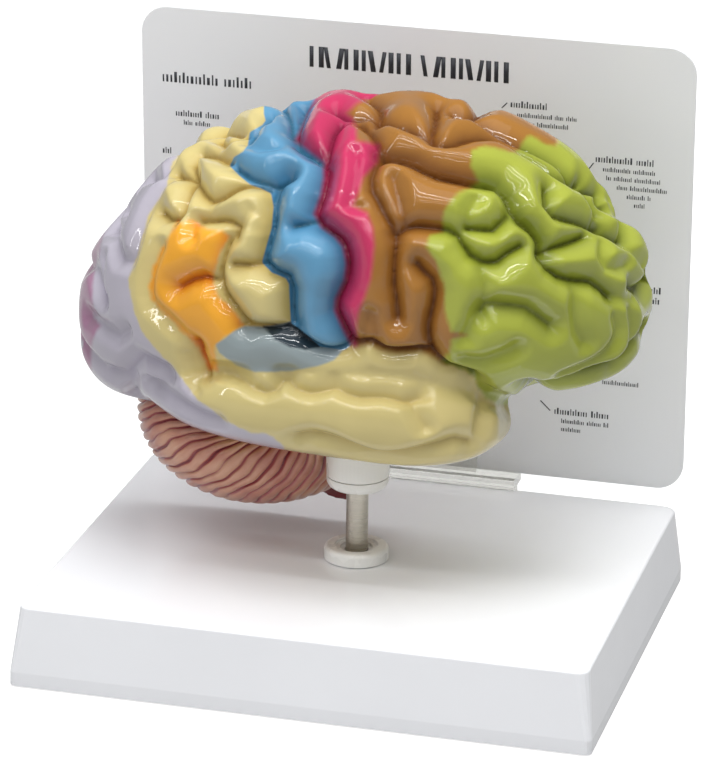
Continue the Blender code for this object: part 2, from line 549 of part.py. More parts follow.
def clip_outline():
    """Section of the clear clip, from its front edge: a bar over the tray's edge, a leg down behind the
    tray's rear wall, and an upright back for the card."""
    low = BASE_HEIGHT + GAP
    top = low + CLIP_THICKNESS
    rear = CLIP_FRONT + CLIP_DEPTH
    card_back = CLIP_FRONT + CARD_SETBACK + CARD_THICKNESS + 2 * GAP
    lean = tan(CARD_LEAN)
    leg_end = BASE_HEIGHT - CLIP_LEG_LENGTH
    leg_top, leg_low = leg_front(low), leg_front(leg_end)
    return [
        (CLIP_FRONT, low), (CLIP_FRONT, top), (card_back, top),
        (card_back - CLIP_BACK_HEIGHT * lean, top + CLIP_BACK_HEIGHT),
        (card_back + CLIP_BACK_THICKNESS - CLIP_BACK_HEIGHT * lean, top + CLIP_BACK_HEIGHT),
        (card_back + CLIP_BACK_THICKNESS, top), (rear, top), (rear, low),
        (leg_top + CLIP_LEG_THICKNESS, low), (leg_low + CLIP_LEG_THICKNESS, leg_end),
        (leg_low, leg_end), (leg_top, low)]


def leg_front(height):
    """Y of the clip leg's front face, which follows the tray's leaning rear wall."""
    return BASE_DEPTH / 2 - base_inset(height) + TAPE_THICKNESS + 2 * GAP


def clip_mesh():
    """The extruded clip, with a springy lip that leans back onto the card over its middle."""
    body = prism(clip_outline(), CLIP_WIDTH)
    foot = CLIP_FRONT + LIP_FOOT
    low = BASE_HEIGHT + GAP + CLIP_THICKNESS
    tip = CLIP_FRONT + CARD_SETBACK - GAP - LIP_HEIGHT * tan(CARD_LEAN) - LIP_THICKNESS
    lip = prism([(foot, low - 0.5), (foot, low), (tip, low + LIP_HEIGHT),
    (tip + LIP_THICKNESS, low + LIP_HEIGHT),
                 (foot + LIP_THICKNESS, low), (foot + LIP_THICKNESS, low - 0.5)], LIP_WIDTH)
    return combined(body, lip, "UNION")


def tape_mesh():
    top, low = BASE_HEIGHT - TAPE_MARGIN, BASE_HEIGHT - CLIP_LEG_LENGTH + TAPE_MARGIN
    front = [(leg_front(z) - GAP - TAPE_THICKNESS, z) for z in (low, top)]
    back = [(leg_front(z) - GAP, z) for z in (top, low)]
    return prism(front + back, CLIP_WIDTH - 2 * TAPE_MARGIN)


def card_mesh():
    """The card, upright, with its bottom edge's middle at the origin."""
    outline = rounded_rectangle(CARD_WIDTH, CARD_HEIGHT, CARD_CORNER, 9)
    return loft([[(x, y, z + CARD_HEIGHT / 2) for x, z in outline] for y in (0.0, CARD_THICKNESS)])


# The brain

def view_axes():
    forward = Vector((-sin(VIEW_AZIMUTH) * cos(VIEW_ELEVATION), cos(VIEW_AZIMUTH) * cos(VIEW_ELEVATION),
                      -sin(VIEW_ELEVATION)))
    level = Vector((cos(VIEW_AZIMUTH), sin(VIEW_AZIMUTH), 0.0))
    upright = level.cross(forward)
    right = level * cos(VIEW_ROLL) + upright * sin(VIEW_ROLL)
    return right, upright * cos(VIEW_ROLL) - level * sin(VIEW_ROLL)


def sight_line(side, a, b):
    """Start and direction of the line that takes a drawn point to the surface."""
    if side == "outer":
        right, up = view_axes()
        return VIEW_EYE, (VIEW_CENTRE + a * right + b * up - VIEW_EYE).normalized()
    start, along = {
        "inner": ((a, 300, b), (0, -1, 0)), "top": ((a, b, 300), (0, 0, -1)), "under": ((a, b, -100),
                  (0, 0, 1)),
        "back": ((-300, a, b), (1, 0, 0)), "front": ((300, a, b), (-1, 0, 0))}[side]
    return Vector(start), Vector(along)


def curved(before, start, end, after, t):
    """A point of the smooth curve through four others, t of the way from the second to the third."""
    return 0.5 * (2 * start + (end - before) * t + (2 * before - 5 * start + 4 * end - after) * t**2
                  + (3 * start - before - 3 * end + after) * t**3)


def traced(fold, surface, step=2.0):
    """A fold's course as points on the surface, close enough together to follow it."""
    drawn, found = np.array(fold.course, float), []
    for i in range(len(drawn) - 1):
        ends = drawn[max(i - 1, 0)], drawn[i], drawn[i + 1], drawn[min(i + 2, len(drawn) - 1)]
        pieces = max(1, int(hypot(*(drawn[i + 1] - drawn[i])) / step))
        for k in range(pieces + 1):
            a, b = curved(*ends, k / pieces).tolist()
            hit = mouth_of(fold, surface, *sight_line(fold.side, a, b))
            if hit is not None and (not found or (hit - found[-1]).length > 0.2):
                found.append(hit)
    return np.array([tuple(point) for point in found])


def mouth_of(fold, surface, start, along, tries=4):
    """Where a fold is on the smooth surface, when its bottom is seen on a line."""
    slip, found = Vector(), None
    for _ in range(tries):
        hit, normal = surface.ray_cast(start - slip, along)[:2]
        if hit is None:
            break
        found = hit
        bottom = hit - normal * fold.depth * FOLD_SEEN - start
        slip += bottom - along * bottom.dot(along)
        slip *= min(1.0, FOLD_SLIP / max(slip.length, FOLD_SLIP))
    return found


def distance_to_course(points, course):
    """Distance of each point to a polyline."""
    nearest = np.full(len(points), 1e9)
    for start, end in zip(course, course[1:]):
        along = end - start
        part = np.clip((points - start) @ along / max(along @ along, 1e-9), 0, 1)
        nearest = np.minimum(nearest, np.linalg.norm(points - start - part[:, None] * along, axis=1))
    return nearest


def fold_relief(points, surface, folds):
    """How far each point of the smooth lobe sinks. Every gyrus keeps a round crown between its folds."""
    total = np.zeros(len(points))
    for fold in folds:
        course = traced(fold, surface)
        if len(course) < 2:
            continue
        reach = fold.radius * FOLD_REACH
        near = np.all((points > course.min(0) - reach) & (points < course.max(0) + reach), axis=1)
        distance = distance_to_course(points[near], course)
        share, swell = (1 - np.clip(distance / width, 0, 1) for width in (fold.radius, reach))
        tube, soft = 1 - np.sqrt(1 - share**2), share**2 * (3 - 2 * share)
        profile = fold.steepness * tube + (1 - fold.steepness) * soft + FOLD_SWELL * swell**2
        total[near] += (fold.depth * profile) ** FOLD_BLEND
    return total ** (1 / FOLD_BLEND)


def smoothed_sections(sections, between=4):
    """Sections on a smooth line through the given ones."""
    keys = ("x", "top", "bottom", "outer", "inner", "rounding", "squareness")
    table = np.array([[getattr(section, key) for key in keys] for section in sections], float)
    filled = []
    for i in range(len(table) - 1):
        ends = table[max(i - 1, 0)], table[i], table[i + 1], table[min(i + 2, len(table) - 1)]
        for k in range(between):
            filled.append(curved(*ends, k / between))
    filled.append(table[-1])
    return [Section(**dict(zip(keys, row))) for row in filled]


def lobe_block():
    """The cerebrum without its folds: the mantle and the temporal lobe run together and smoothed."""
    mantle, temporal = (loft([section.ring() for section in smoothed_sections(lobe)]) for lobe in (MANTLE, TEMPORAL))
    obj = work_object(combined(mantle, temporal, "UNION"))
    remesh = obj.modifiers.new("remesh", "REMESH")
    remesh.mode, remesh.voxel_size, remesh.adaptivity = "VOXEL", LOBE_VOXEL, 0.0
    smooth = obj.modifiers.new("smooth", "SMOOTH")
    smooth.factor, smooth.iterations = 0.5, 6
    return evaluated_mesh(obj)


def cerebrum_mesh():
    mesh = lobe_block()
    surface = BVHTree.FromPolygons([v.co for v in mesh.vertices], [tuple(p.vertices) for p in mesh.polygons])
    points = np.empty(len(mesh.vertices) * 3)
    normals = np.empty(len(mesh.vertices) * 3)
    mesh.vertices.foreach_get("co", points)
    mesh.vertices.foreach_get("normal", normals)
    points, normals = points.reshape(-1, 3), normals.reshape(-1, 3)
    relief = fold_relief(points, surface, [*OUTER_FOLDS.values(), *HIDDEN_FOLDS.values()])
    mesh.vertices.foreach_set("co", (points - normals * relief[:, None]).ravel())
    mesh.update()
    return mesh


def cerebellum_mesh():
    """Half a flattened ball with its leaves, whose grooves fan out from the hub."""
    bm = bmesh.new()
    bmesh.ops.create_uvsphere(bm, u_segments=3 * LEAVES, v_segments=2 * LEAF_RINGS, radius=1)
    facing = Vector((0, 0, 1)).rotation_difference(Vector(CEREBELLUM_HUB))
    for vert in bm.verts:
        reach = hypot(vert.co.x, vert.co.y)
        turn = atan2(vert.co.y, vert.co.x)
        leaf = turn / (2 * pi) * LEAVES
        share = 1 - 2 * abs(leaf - floor(leaf + 0.5))  # 1 in a groove, 0 on a crown
        sink = 1 - LEAF_DEPTH / CEREBELLUM_WIDTH * (1 - (1 - share**2) ** 0.5) * min(1.0, 2.5 * reach) * 1.6
        turn += LEAF_WAVE * sin(7 * vert.co.z + 3 * sin(2 * turn))
        ball = facing @ Vector((reach * cos(turn), reach * sin(turn), vert.co.z)) * sink
        along, outward = CEREBELLUM_REACH * ball.x, -CEREBELLUM_WIDTH * ball.y
        height = (CEREBELLUM_RISE if ball.z > 0 else CEREBELLUM_DROP) * ball.z
        vert.co = (CEREBELLUM_CENTRE[0] + along - CEREBELLUM_SWEEP * outward, CEREBELLUM_CENTRE[1] - outward,
                   CEREBELLUM_CENTRE[2] + height - CEREBELLUM_TILT * along)
    cut = bmesh.ops.bisect_plane(bm, geom=[*bm.verts, *bm.edges, *bm.faces], plane_co=(0, MIDLINE - GAP, 0),
                                 plane_no=(0, 1, 0), clear_outer=True)
    bmesh.ops.edgeloop_fill(bm, edges=[item for item in cut["geom_cut"] if isinstance(item, bmesh.types.BMEdge)])
    bmesh.ops.recalc_face_normals(bm, faces=bm.faces)
    return mesh_from(bm)


def stem_mesh():
    """The pons and the medulla, halved at the midline."""
    top, foot = (Vector((x, MIDLINE, z)) for x, z in (STEM_TOP, STEM_FOOT))
    axis = top - foot
    bm = bmesh.new()
    place = Matrix.Translation((top + foot) / 2) @ axis.to_track_quat("Z", "Y").to_matrix().to_4x4()
    bmesh.ops.create_cone(bm, cap_ends=True, segments=28, radius1=STEM_FOOT_RADIUS, radius2=STEM_TOP_RADIUS,
                          depth=axis.length, matrix=place)
    medulla = mesh_from(bm)
    bm = bmesh.new()
    place = Matrix.Translation((PONS_CENTRE[0], MIDLINE, PONS_CENTRE[1])) @ Matrix.Diagonal((*PONS_SIZE, 1))
    bmesh.ops.create_uvsphere(bm, u_segments=28, v_segments=16, radius=1, matrix=place)
    whole = combined(medulla, mesh_from(bm), "UNION")
    reach = top.z + STEM_TOP_RADIUS + PONS_SIZE[1]
    return combined(whole, box((-reach, MIDLINE - reach, 0), (reach, MIDLINE - GAP, reach)), "INTERSECT")


def brain_mesh():
    """One cast: cerebrum, cerebellum and stem, with a pocket below for the socket."""
    whole = combined(thinned(cerebrum_mesh(), CEREBRUM_TRIANGLES), cerebellum_mesh(), "UNION")
    whole = combined(whole, stem_mesh(), "UNION")
    pocket = cylinder(SOCKET_TOP_RADIUS + GAP, BASE_HEIGHT, SOCKET_TOP + GAP, POST_X, POST_Y)
    return outer_skin(combined(whole, pocket, "DIFFERENCE"))


for old in list(bpy.data.objects):
    bpy.data.objects.remove(old)

collection = bpy.data.collections.new("brain_model")
bpy.context.scene.collection.children.link(collection)

footprint_back = CLIP_FRONT + CLIP_DEPTH
footprint_left = MANTLE[0].x
stand = bpy.data.objects.new("stand", None)
stand.location = (-(footprint_left + BASE_WIDTH / 2) / 2 * MM, -(footprint_back - BASE_DEPTH / 2) / 2 * MM, 0)
collection.objects.link(stand)

white = material("white_plastic", (0.82, 0.82, 0.83), 0.35)
steel = material("satin_steel", (0.62, 0.60, 0.56), 0.32, 1.0)
zinc = material("zinc_steel", (0.55, 0.56, 0.58), 0.4, 1.0)
clear = material("clear_plastic", (0.80, 0.82, 0.80), 0.12)
foam = material("foam_tape", (0.75, 0.75, 0.72), 0.8)
board = material("printed_card", (0.72, 0.73, 0.74), 0.45)
paint = material("painted_cast", (0.74, 0.64, 0.32), 0.25)

post_axis = (POST_X, POST_Y)
piece("base", base_mesh(), white)
piece("post_foot", post_foot_mesh(), white, (*post_axis, BASE_HEIGHT + GAP))
piece("post", post_mesh(), steel, (*post_axis, BASE_HEIGHT + GAP))
piece("post_washer", washer_mesh(), zinc, (*post_axis, BOSS_BOTTOM - GAP - WASHER_THICKNESS))
piece("post_screw", screw_mesh(), zinc, (*post_axis, BOSS_BOTTOM - 2 * GAP - WASHER_THICKNESS))
piece("pivot_disc", disc_mesh(), white, (*post_axis, SEAM_HEIGHT))
piece("brain_socket", socket_mesh(), white, (*post_axis, SEAM_HEIGHT + GAP))
piece("card_clip", clip_mesh(), clear)
piece("clip_tape", tape_mesh(), foam)
piece("label_card", card_mesh(), board,
      (CARD_X, CLIP_FRONT + CARD_SETBACK, BASE_HEIGHT + 2 * GAP + CLIP_THICKNESS), CARD_LEAN)
piece("brain", brain_mesh(), paint)
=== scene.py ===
"""Looks of the brain model: its folds in full, hand-painted gloss, moulded plastic, steel and print.

Sizes are in millimetres from the middle of the base's bottom, as the folds were drawn, and the objects
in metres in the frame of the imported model. X runs from the back of the brain to its front, Y from its
painted side to the card, and Z up.
"""

from math import atan2, cos, floor, hypot, pi, radians, sin

import bmesh
import bpy
import numpy as np
from mathutils import Matrix, Vector
from mathutils.bvhtree import BVHTree


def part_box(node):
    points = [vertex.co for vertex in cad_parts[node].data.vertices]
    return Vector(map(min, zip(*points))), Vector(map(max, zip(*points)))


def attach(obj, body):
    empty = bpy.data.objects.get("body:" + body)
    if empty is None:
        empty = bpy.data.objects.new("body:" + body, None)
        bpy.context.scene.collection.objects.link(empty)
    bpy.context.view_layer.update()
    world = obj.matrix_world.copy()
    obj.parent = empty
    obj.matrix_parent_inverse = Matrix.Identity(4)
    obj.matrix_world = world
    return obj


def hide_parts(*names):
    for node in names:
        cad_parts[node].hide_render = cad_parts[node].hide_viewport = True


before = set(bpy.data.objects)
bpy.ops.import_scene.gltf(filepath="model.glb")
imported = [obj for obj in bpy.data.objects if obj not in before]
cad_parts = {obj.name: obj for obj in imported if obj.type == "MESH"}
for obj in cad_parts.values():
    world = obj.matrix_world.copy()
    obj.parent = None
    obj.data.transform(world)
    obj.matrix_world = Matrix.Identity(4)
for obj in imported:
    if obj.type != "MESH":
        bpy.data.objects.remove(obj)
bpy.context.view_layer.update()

MM = 0.001
base_low, base_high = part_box("base")
# Where the drawing's origin is in the frame.
SHIFT = Vector(((base_low.x + base_high.x) / 2, (base_low.y + base_high.y) / 2, 0.0))

CARD_X, CARD_FRONT, CARD_FOOT, CARD_LEAN = -1.5, 69.2, 26.5, radians(3.0)

# Brain
MIDLINE = 26.0  # Y of the flat inner side
GAP = 0.3  # how far the cerebellum and the stem stay behind that side
LOBE_VOXEL, LOBE_SMOOTHING = ((0.75, 22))
STEM_VOXEL, STEM_SMOOTHING = 0.6, 6
INNER_SQUARENESS, OUTER_SQUARENESS = 5.0, 2.35  # of a lobe's slices; 2 is an ellipse
WIDEST = 0.47  # how far up a slice its widest point lies, as a share
FOLD_BLEND = 3.0  # how softly one fold runs into the next
FOLD_STEEPNESS, FULL_DEPTH = 0.7, 4.8  # how much of a deep fold is a sharp crease, and the depth of that
# The full groove colour and the dark line in a crease are painted shade.
GROOVE_DEPTH = 4.8  # of a groove in its full colour
LINE_WIDTH = 1.4  # of the dark line in a sharp crease
UNPAINTED = -50.0  # a distance from an area at which none of its paint shows
FOLD_SWELL, FOLD_REACH = 0.25, 1.6  # roundness of the crowns: its share of the depth, and how far it reaches
FOLD_SEEN = 0.7  # share of a fold's depth that is wide enough to see into
FOLD_SLIP = 2.5  # most that a fold's mouth lies off the line to its bottom
CEREBELLUM_CENTRE = (-35.5, MIDLINE, 56.0)
CEREBELLUM_REACH, CEREBELLUM_WIDTH, CEREBELLUM_RISE, CEREBELLUM_DROP = 34.5, 44.0, 18.0, 25.5
CEREBELLUM_TILT, CEREBELLUM_SWEEP = 0.10, 0.08  # its front end hangs lower, its outer side lies further back
CEREBELLUM_HUB = (0.60, -0.40, 0.69)  # direction of the point that its grooves fan out from
LEAVES, LEAF_DEPTH = 56, 1.3
LEAF_STEPS, LEAF_RINGS = 10, 90  # mesh points across a leaf, and rings along it
STEM_TOP, STEM_FOOT = (-3.0, 70.0), (-13.0, 32.0)  # X and Z of the medulla's axis
STEM_TOP_RADIUS, STEM_FOOT_RADIUS = 9.0, 6.5
PONS_CENTRE, PONS_SIZE = (0.0, 62.0), (11.0, 17.0, 12.0)

# Where the folds and the paint of the outer side are drawn from, as the camera sees them.
# U runs right and V up on the plane that faces the viewer and passes through VIEW_CENTRE.
VIEW_EYE = Vector((281.9, -1107.6, 480.5))
VIEW_CENTRE = Vector((0.0, 0.0, 100.0))
VIEW_AZIMUTH, VIEW_ELEVATION, VIEW_ROLL = radians(14.36), radians(19.54), radians(0.97)
LENS = 201.76  # on a sensor of 36

# Slices of the two forms that the cerebrum is blocked out from, back to front:
# X, top, bottom, outermost Y, innermost Y and how far the inner edges are rounded.
MANTLE = [
    (-86.8, 93.5, 74, 11, MIDLINE, 6),
    (-83.5, 103, 67.5, 1, MIDLINE, 8),
    (-75, 114.5, 63, -11, MIDLINE, 11),
    (-62, 131.5, 61.5, -22, MIDLINE, 11),
    (-46, 143.5, 62, -31, MIDLINE, 11),
    (-28, 152, 63, -36, MIDLINE, 11),
    (-8, 155.5, 66, -38, MIDLINE, 11),
    (10, 156.5, 70, -38, MIDLINE, 11),
    (28, 155, 73, -36, MIDLINE, 11),
    (43, 149.5, 74.5, -31.5, MIDLINE, 11),
    (56, 142, 77.3, -25, MIDLINE, 11),
    (66, 131.5, 79.2, -15.5, MIDLINE, 11),
    (74.3, 120.5, 84, -5, MIDLINE, 11),
    (78.3, 110.5, 91, 6, MIDLINE, 8),
]
TEMPORAL = [
    (-58, 84, 65, -16, 14, 11),
    (-44, 92, 61.5, -31, 18, 11),
    (-26, 97, 59, -38, 20, 11),
    (-4, 99, 57.6, -40, 20, 11),
    (16, 98, 57.3, -39.5, 18, 11),
    (28, 93, 58.8, -36.5, 14, 11),
    (38, 87.5, 61.8, -30.5, 9, 8),
    (44.5, 80, 67, -21, 2, 6),
]


class Fold:
    """A sulcus: how wide and deep it is, the side it is drawn from, and its course.

    A steep one is a sharp crease between round crowns. The others are soft dips.
    """

    def __init__(self, course, radius=7.0, depth=4.8, side="outer"):
        self.course, self.radius, self.depth, self.side = course, radius, depth, side
        self.steepness = FOLD_STEEPNESS * min(1.0, depth / FULL_DEPTH) ** 2


def deep(*course, side="outer"):
    return Fold(course, 8.0, 6.6, side)


def plain(*course, side="outer"):
    return Fold(course, side=side)


def faint(*course, side="outer"):
    return Fold(course, 5.0, 2.2, side)


OUTER_FOLDS = {
    "lateral_fissure": Fold([
        (-33, -7.2), (-28, -7.6), (-22, -7.9), (-18.5, -9.2), (-15, -11.6), (-11, -13.4), (-5, -13.8),
        (-1.5, -12.6), (2.5, -11.6), (6, -13.4), (10, -14), (16, -13.6), (19.5, -14.8), (23, -17.6),
        (28, -19.2), (30.8, -20.8)], 5.0, 5.0),
    "fissure_stem": faint((30.8, -20.8), (32.3, -24), (34, -27.6), (37.5, -29.5), (42, -29.6)),
    "central": deep(
        (-15.5, 57.5), (-17.3, 53), (-18.8, 48), (-18.2, 44.6), (-14, 41.3), (-10.3, 38.4), (-10.3, 34),
        (-11.2, 29), (-13, 24), (-11, 20.5), (-7.5, 18.2), (-5, 15), (-4, 10), (-4.6, 5), (-7, 0),
        (-7.3, -3), (-5.5, -7), (-3, -12)),
    "postcentral_upper": plain((-26.3, 54), (-26.6, 50.5), (-27.8, 48.4), (-30.6, 47.2), (-31.5, 44.3)),
    "postcentral": deep(
        (-20.5, 34.5), (-23.8, 32), (-24.6, 27), (-25, 21), (-26.6, 15), (-27.4, 10.2), (-24.5, 7.8),
        (-21, 6.4), (-19.8, 3), (-19.8, -2), (-19.3, -6.5)),
    "postcentral_cross": plain((-35.5, 37.2), (-32, 34.6), (-28.5, 33.4), (-25, 32.6), (-21.5, 34.6)),
    "postcentral_dimple": faint((-32, 43.2), (-28, 42.6), (-23.8, 43)),
    "postcentral_branch": plain((-19, 20.6), (-16, 21.2), (-13, 22.4)),
    "precentral_upper": plain((-1, 50), (2.6, 47.2), (5.2, 42.4), (5.8, 40.5)),
    "precentral": plain(
        (5.7, 40.4), (3.7, 37.5), (2.5, 34), (2.8, 30.5), (4.5, 27.5), (6.2, 24), (8.2, 20.5), (9.3, 17.5),
        (8.9, 10), (8.8, 4), (9.6, -1), (9.9, -5)),
    "precentral_gyrus_knuckle": plain((-6, 49.6), (-8, 47), (-9, 43.5), (-9.9, 40)),
    "precentral_gyrus_side": faint((-1.6, 41), (-1.8, 36), (-2.1, 33), (-2.6, 29.5), (-3, 26.6), (0, 26.3)),
    "precentral_top": plain(
        (-7.5, 53), (-4, 51.3), (0, 51.4), (4.5, 51.4), (9, 49.4), (12, 48.4), (16, 46.7), (19.2, 45.4)),
    "superior_frontal_notch": plain(
        (21, 54), (20.6, 50), (19.6, 46), (20.8, 43.6), (25, 43.6), (29, 45), (34, 45.5), (38, 44.6),
        (42, 42.6), (45.5, 40.4), (49.5, 38), (53, 35.4), (57, 33), (61, 31.6), (66, 29.6), (70, 27)),
    "frontal_notch": plain((63.2, 34.6), (60.5, 32.2)),
    "superior_frontal": deep(
        (5.8, 40.6), (10, 40), (14, 38.8), (18, 36.6), (21.5, 35), (26, 34), (30, 33.2), (34, 32.6),
        (38, 31.8), (40.8, 29), (42.2, 25), (44.3, 22), (47.5, 19.5), (49.8, 16), (50.3, 12.5)),
    "middle_frontal_curl": Fold([(8.6, 34.2), (9.3, 31), (10.4, 27), (11.4, 23.4), (12, 20.6)], 5.5, 3.2),
    "middle_frontal_lower": plain(
        (9.3, 18), (12, 20), (16, 20.5), (20, 20.1), (24, 19.6), (27, 18), (28.4, 15.2), (30.4, 12.4),
        (33.5, 10.6), (38, 10.6), (41, 13), (44.5, 15)),
    "round_lump_foot": plain((29.5, 20), (33, 19.7), (36.8, 19.5), (39, 21.6), (41, 23.6)),
    "round_lump_side": faint((30, 20.5), (30.2, 24.5), (32, 28)),
    "frontal_cross": plain(
        (51.6, 31), (51.7, 26), (53.6, 23.7), (58, 22.5), (62, 21.5), (64.6, 20.2), (67, 20.3)),
    "frontal_cross_lower": plain((50.6, 13), (54.5, 14.7), (58.5, 16), (62.5, 17.8)),
    "frontal_step": plain((50.5, 12), (52, 8.6), (55, 6.4), (60, 5.3), (64, 5), (67, 3), (69.5, 0.6)),
    "frontal_step_upper": faint((67.3, 16), (67.3, 12), (68.6, 9), (71.4, 8.6), (74.2, 9.6)),
    "frontal_rim": faint((69.5, 28), (72.4, 22), (74, 17), (76.4, 12.8), (79, 9.4), (80.6, 8)),
    "frontal_pole_step": faint((69.5, 0.6), (73, 0.6), (76.5, 0.2)),
    "frontal_lump_back": faint((59.8, 3.5), (59.8, -1), (59.8, -5), (60.6, -9), (62.2, -12)),
    "frontal_lump_front": faint(
        (71, -4.6), (71.6, -8.6), (70.2, -12.6), (67, -16), (62, -18.6), (56, -20.8)),
    "frontal_pole_rim": faint((75, -3), (75.6, -8), (74.6, -13), (72.4, -16.4), (70, -18.4)),
    "orbital_margin": plain(
        (45.5, -25), (49, -22.8), (53, -22.6), (57.5, -22), (62, -20.2), (66, -18.9), (70, -18.3)),
    "orbital_notch": faint((50, -28.4), (47.6, -25.6), (45.6, -24.4)),
    "inferior_frontal": Fold([
        (33.2, -3.6), (34.6, -1.6), (40, -1.8), (46, -2.6), (49, -4.6), (52.5, -7.2)], 6.5, 3.8),
    "inferior_frontal_rise": faint((33.4, 8), (34.1, 4), (34, 0), (33, -3.4), (31, -6.6), (28.8, -10.6)),
    "inferior_frontal_ramus": faint((29, -16.8), (33, -17.2), (37, -16.2), (41, -14.6), (43, -13.4)),
    "opercular": plain(
        (15.4, 10), (17.2, 7.8), (19.6, 5.6), (20.4, 2.6), (19.8, -2), (18.6, -7), (18.7, -11),
        (19.6, -14.4)),
    "opercular_short_a": faint((1.7, -4), (1.1, -8), (0.2, -11.4)),
    "opercular_short_b": faint((3, -5), (3.5, -8), (3.9, -11.6)),
    "superior_temporal": Fold([
        (-41, -20.3), (-36, -20.8), (-33, -22.6), (-30, -24.9), (-27, -26), (-24.5, -25), (-22.2, -22.3),
        (-20.3, -22), (-18.3, -24.6), (-14, -26), (-10.5, -25.2), (-7.5, -24.4), (-4.5, -26), (-0.5, -27.2),
        (4, -27), (8, -27.4), (12, -28.3), (16, -27.5)], 4.0, 2.8),
    "superior_temporal_end": faint((13.6, -28.5), (15.2, -31.6), (17.6, -35.6)),
    "superior_temporal_back": faint((-48.4, -15.6), (-46.8, -20), (-46.6, -25)),
    "inferior_temporal": Fold([
        (-17.5, -38.2), (-13.5, -37.6), (-10, -38.3), (-6, -39.7), (-2, -41.1), (3, -42.4), (8, -42.9),
        (13, -42.6), (18, -41.5), (22, -40.4), (26, -39.1), (30, -39.7)], 6.0, 3.0),
    "temporal_pole": faint((33.6, -29), (32.8, -33), (32.2, -37)),
    "intraparietal": plain(
        (-37.2, 17), (-39.2, 11), (-39.8, 6), (-38.3, 1.5), (-35.3, -2.5), (-32.3, -6.8)),
    "angular_cross": plain((-51, 3.6), (-47.5, 5.6), (-44, 6.4), (-40.6, 5.2)),
    "angular_slot": faint((-47.6, 22.4), (-47.6, 17.8)),
    "angular_top": plain((-45.5, 22), (-41, 22.2), (-37, 22), (-34.6, 20.4), (-35.6, 17.6)),
    "angular_foot": plain((-46, -12), (-44.6, -16), (-43, -20.4)),
    "angular_back": faint(
        (-56.4, 14.6), (-58.6, 9), (-59.4, 3.6), (-58.6, -1), (-54.4, -5), (-50, -9.6), (-46, -13.6)),
    "parietal_cross": plain(
        (-53.8, 37.4), (-51, 35), (-47.6, 34.4), (-45.8, 31.4), (-44, 29), (-42.2, 27.6), (-38.6, 29),
        (-35, 31.2), (-31, 32.2), (-26.4, 31.4)),
    "parietal_upper": plain((-47.4, 35), (-47.6, 38.6), (-45.4, 41), (-42, 41), (-39.4, 40), (-37, 38.7)),
    "parietal_top": plain((-40.6, 48), (-40.4, 45.2), (-38.6, 43.6), (-35.8, 44.6), (-33, 46.2)),
    "parietal_top_lower": faint((-40.4, 44.6), (-39.6, 42), (-38.6, 40)),
    "parietal_lump": plain(
        (-48, 33), (-49.3, 28), (-50.2, 24.4), (-51.8, 22.6), (-54.4, 22.8), (-56.4, 24.6)),
    "parietal_lump_front": faint((-45.4, 22.6), (-43.2, 25), (-41.8, 27.4)),
    "supramarginal_floor": plain((-36.2, 9.8), (-32, 9.6), (-27.6, 9.8)),
    "supramarginal_curl": faint((-34, 22), (-31.4, 25), (-29, 23.6), (-29.6, 20)),
    "occipital_rim": faint((-52, 41.6), (-56, 36.8), (-60, 31.8), (-63.6, 27), (-67, 23)),
    "occipital_rim_inner": faint((-54.4, 33), (-58, 28), (-60.4, 23), (-62.2, 17), (-63.6, 12.6)),
    "occipital_upper": faint((-69.4, 19.6), (-68.2, 15), (-67.2, 11.4), (-64.4, 10.6)),
    "occipital_side": faint((-72, 11), (-72.8, 5), (-72.4, -1)),
    "occipital_cross": faint(
        (-76, -4.4), (-74.4, -5.4), (-72.2, -7.4), (-70, -8.8), (-68, -9.9), (-65.6, -8.6)),
    "occipital_lower": Fold([
        (-70, -19.8), (-65.8, -20.6), (-63.8, -18.6), (-61.4, -15.8), (-58.4, -17.4),
        (-54.4, -19.4)], 6.0, 2.6),
    "occipital_foot": faint((-64, -21), (-64.2, -24), (-62, -27.6), (-60, -29.4)),
    "occipital_temporal": faint((-59, -22.4), (-54.6, -25.4), (-50, -28.9), (-45, -31.8), (-40, -33.4)),
}

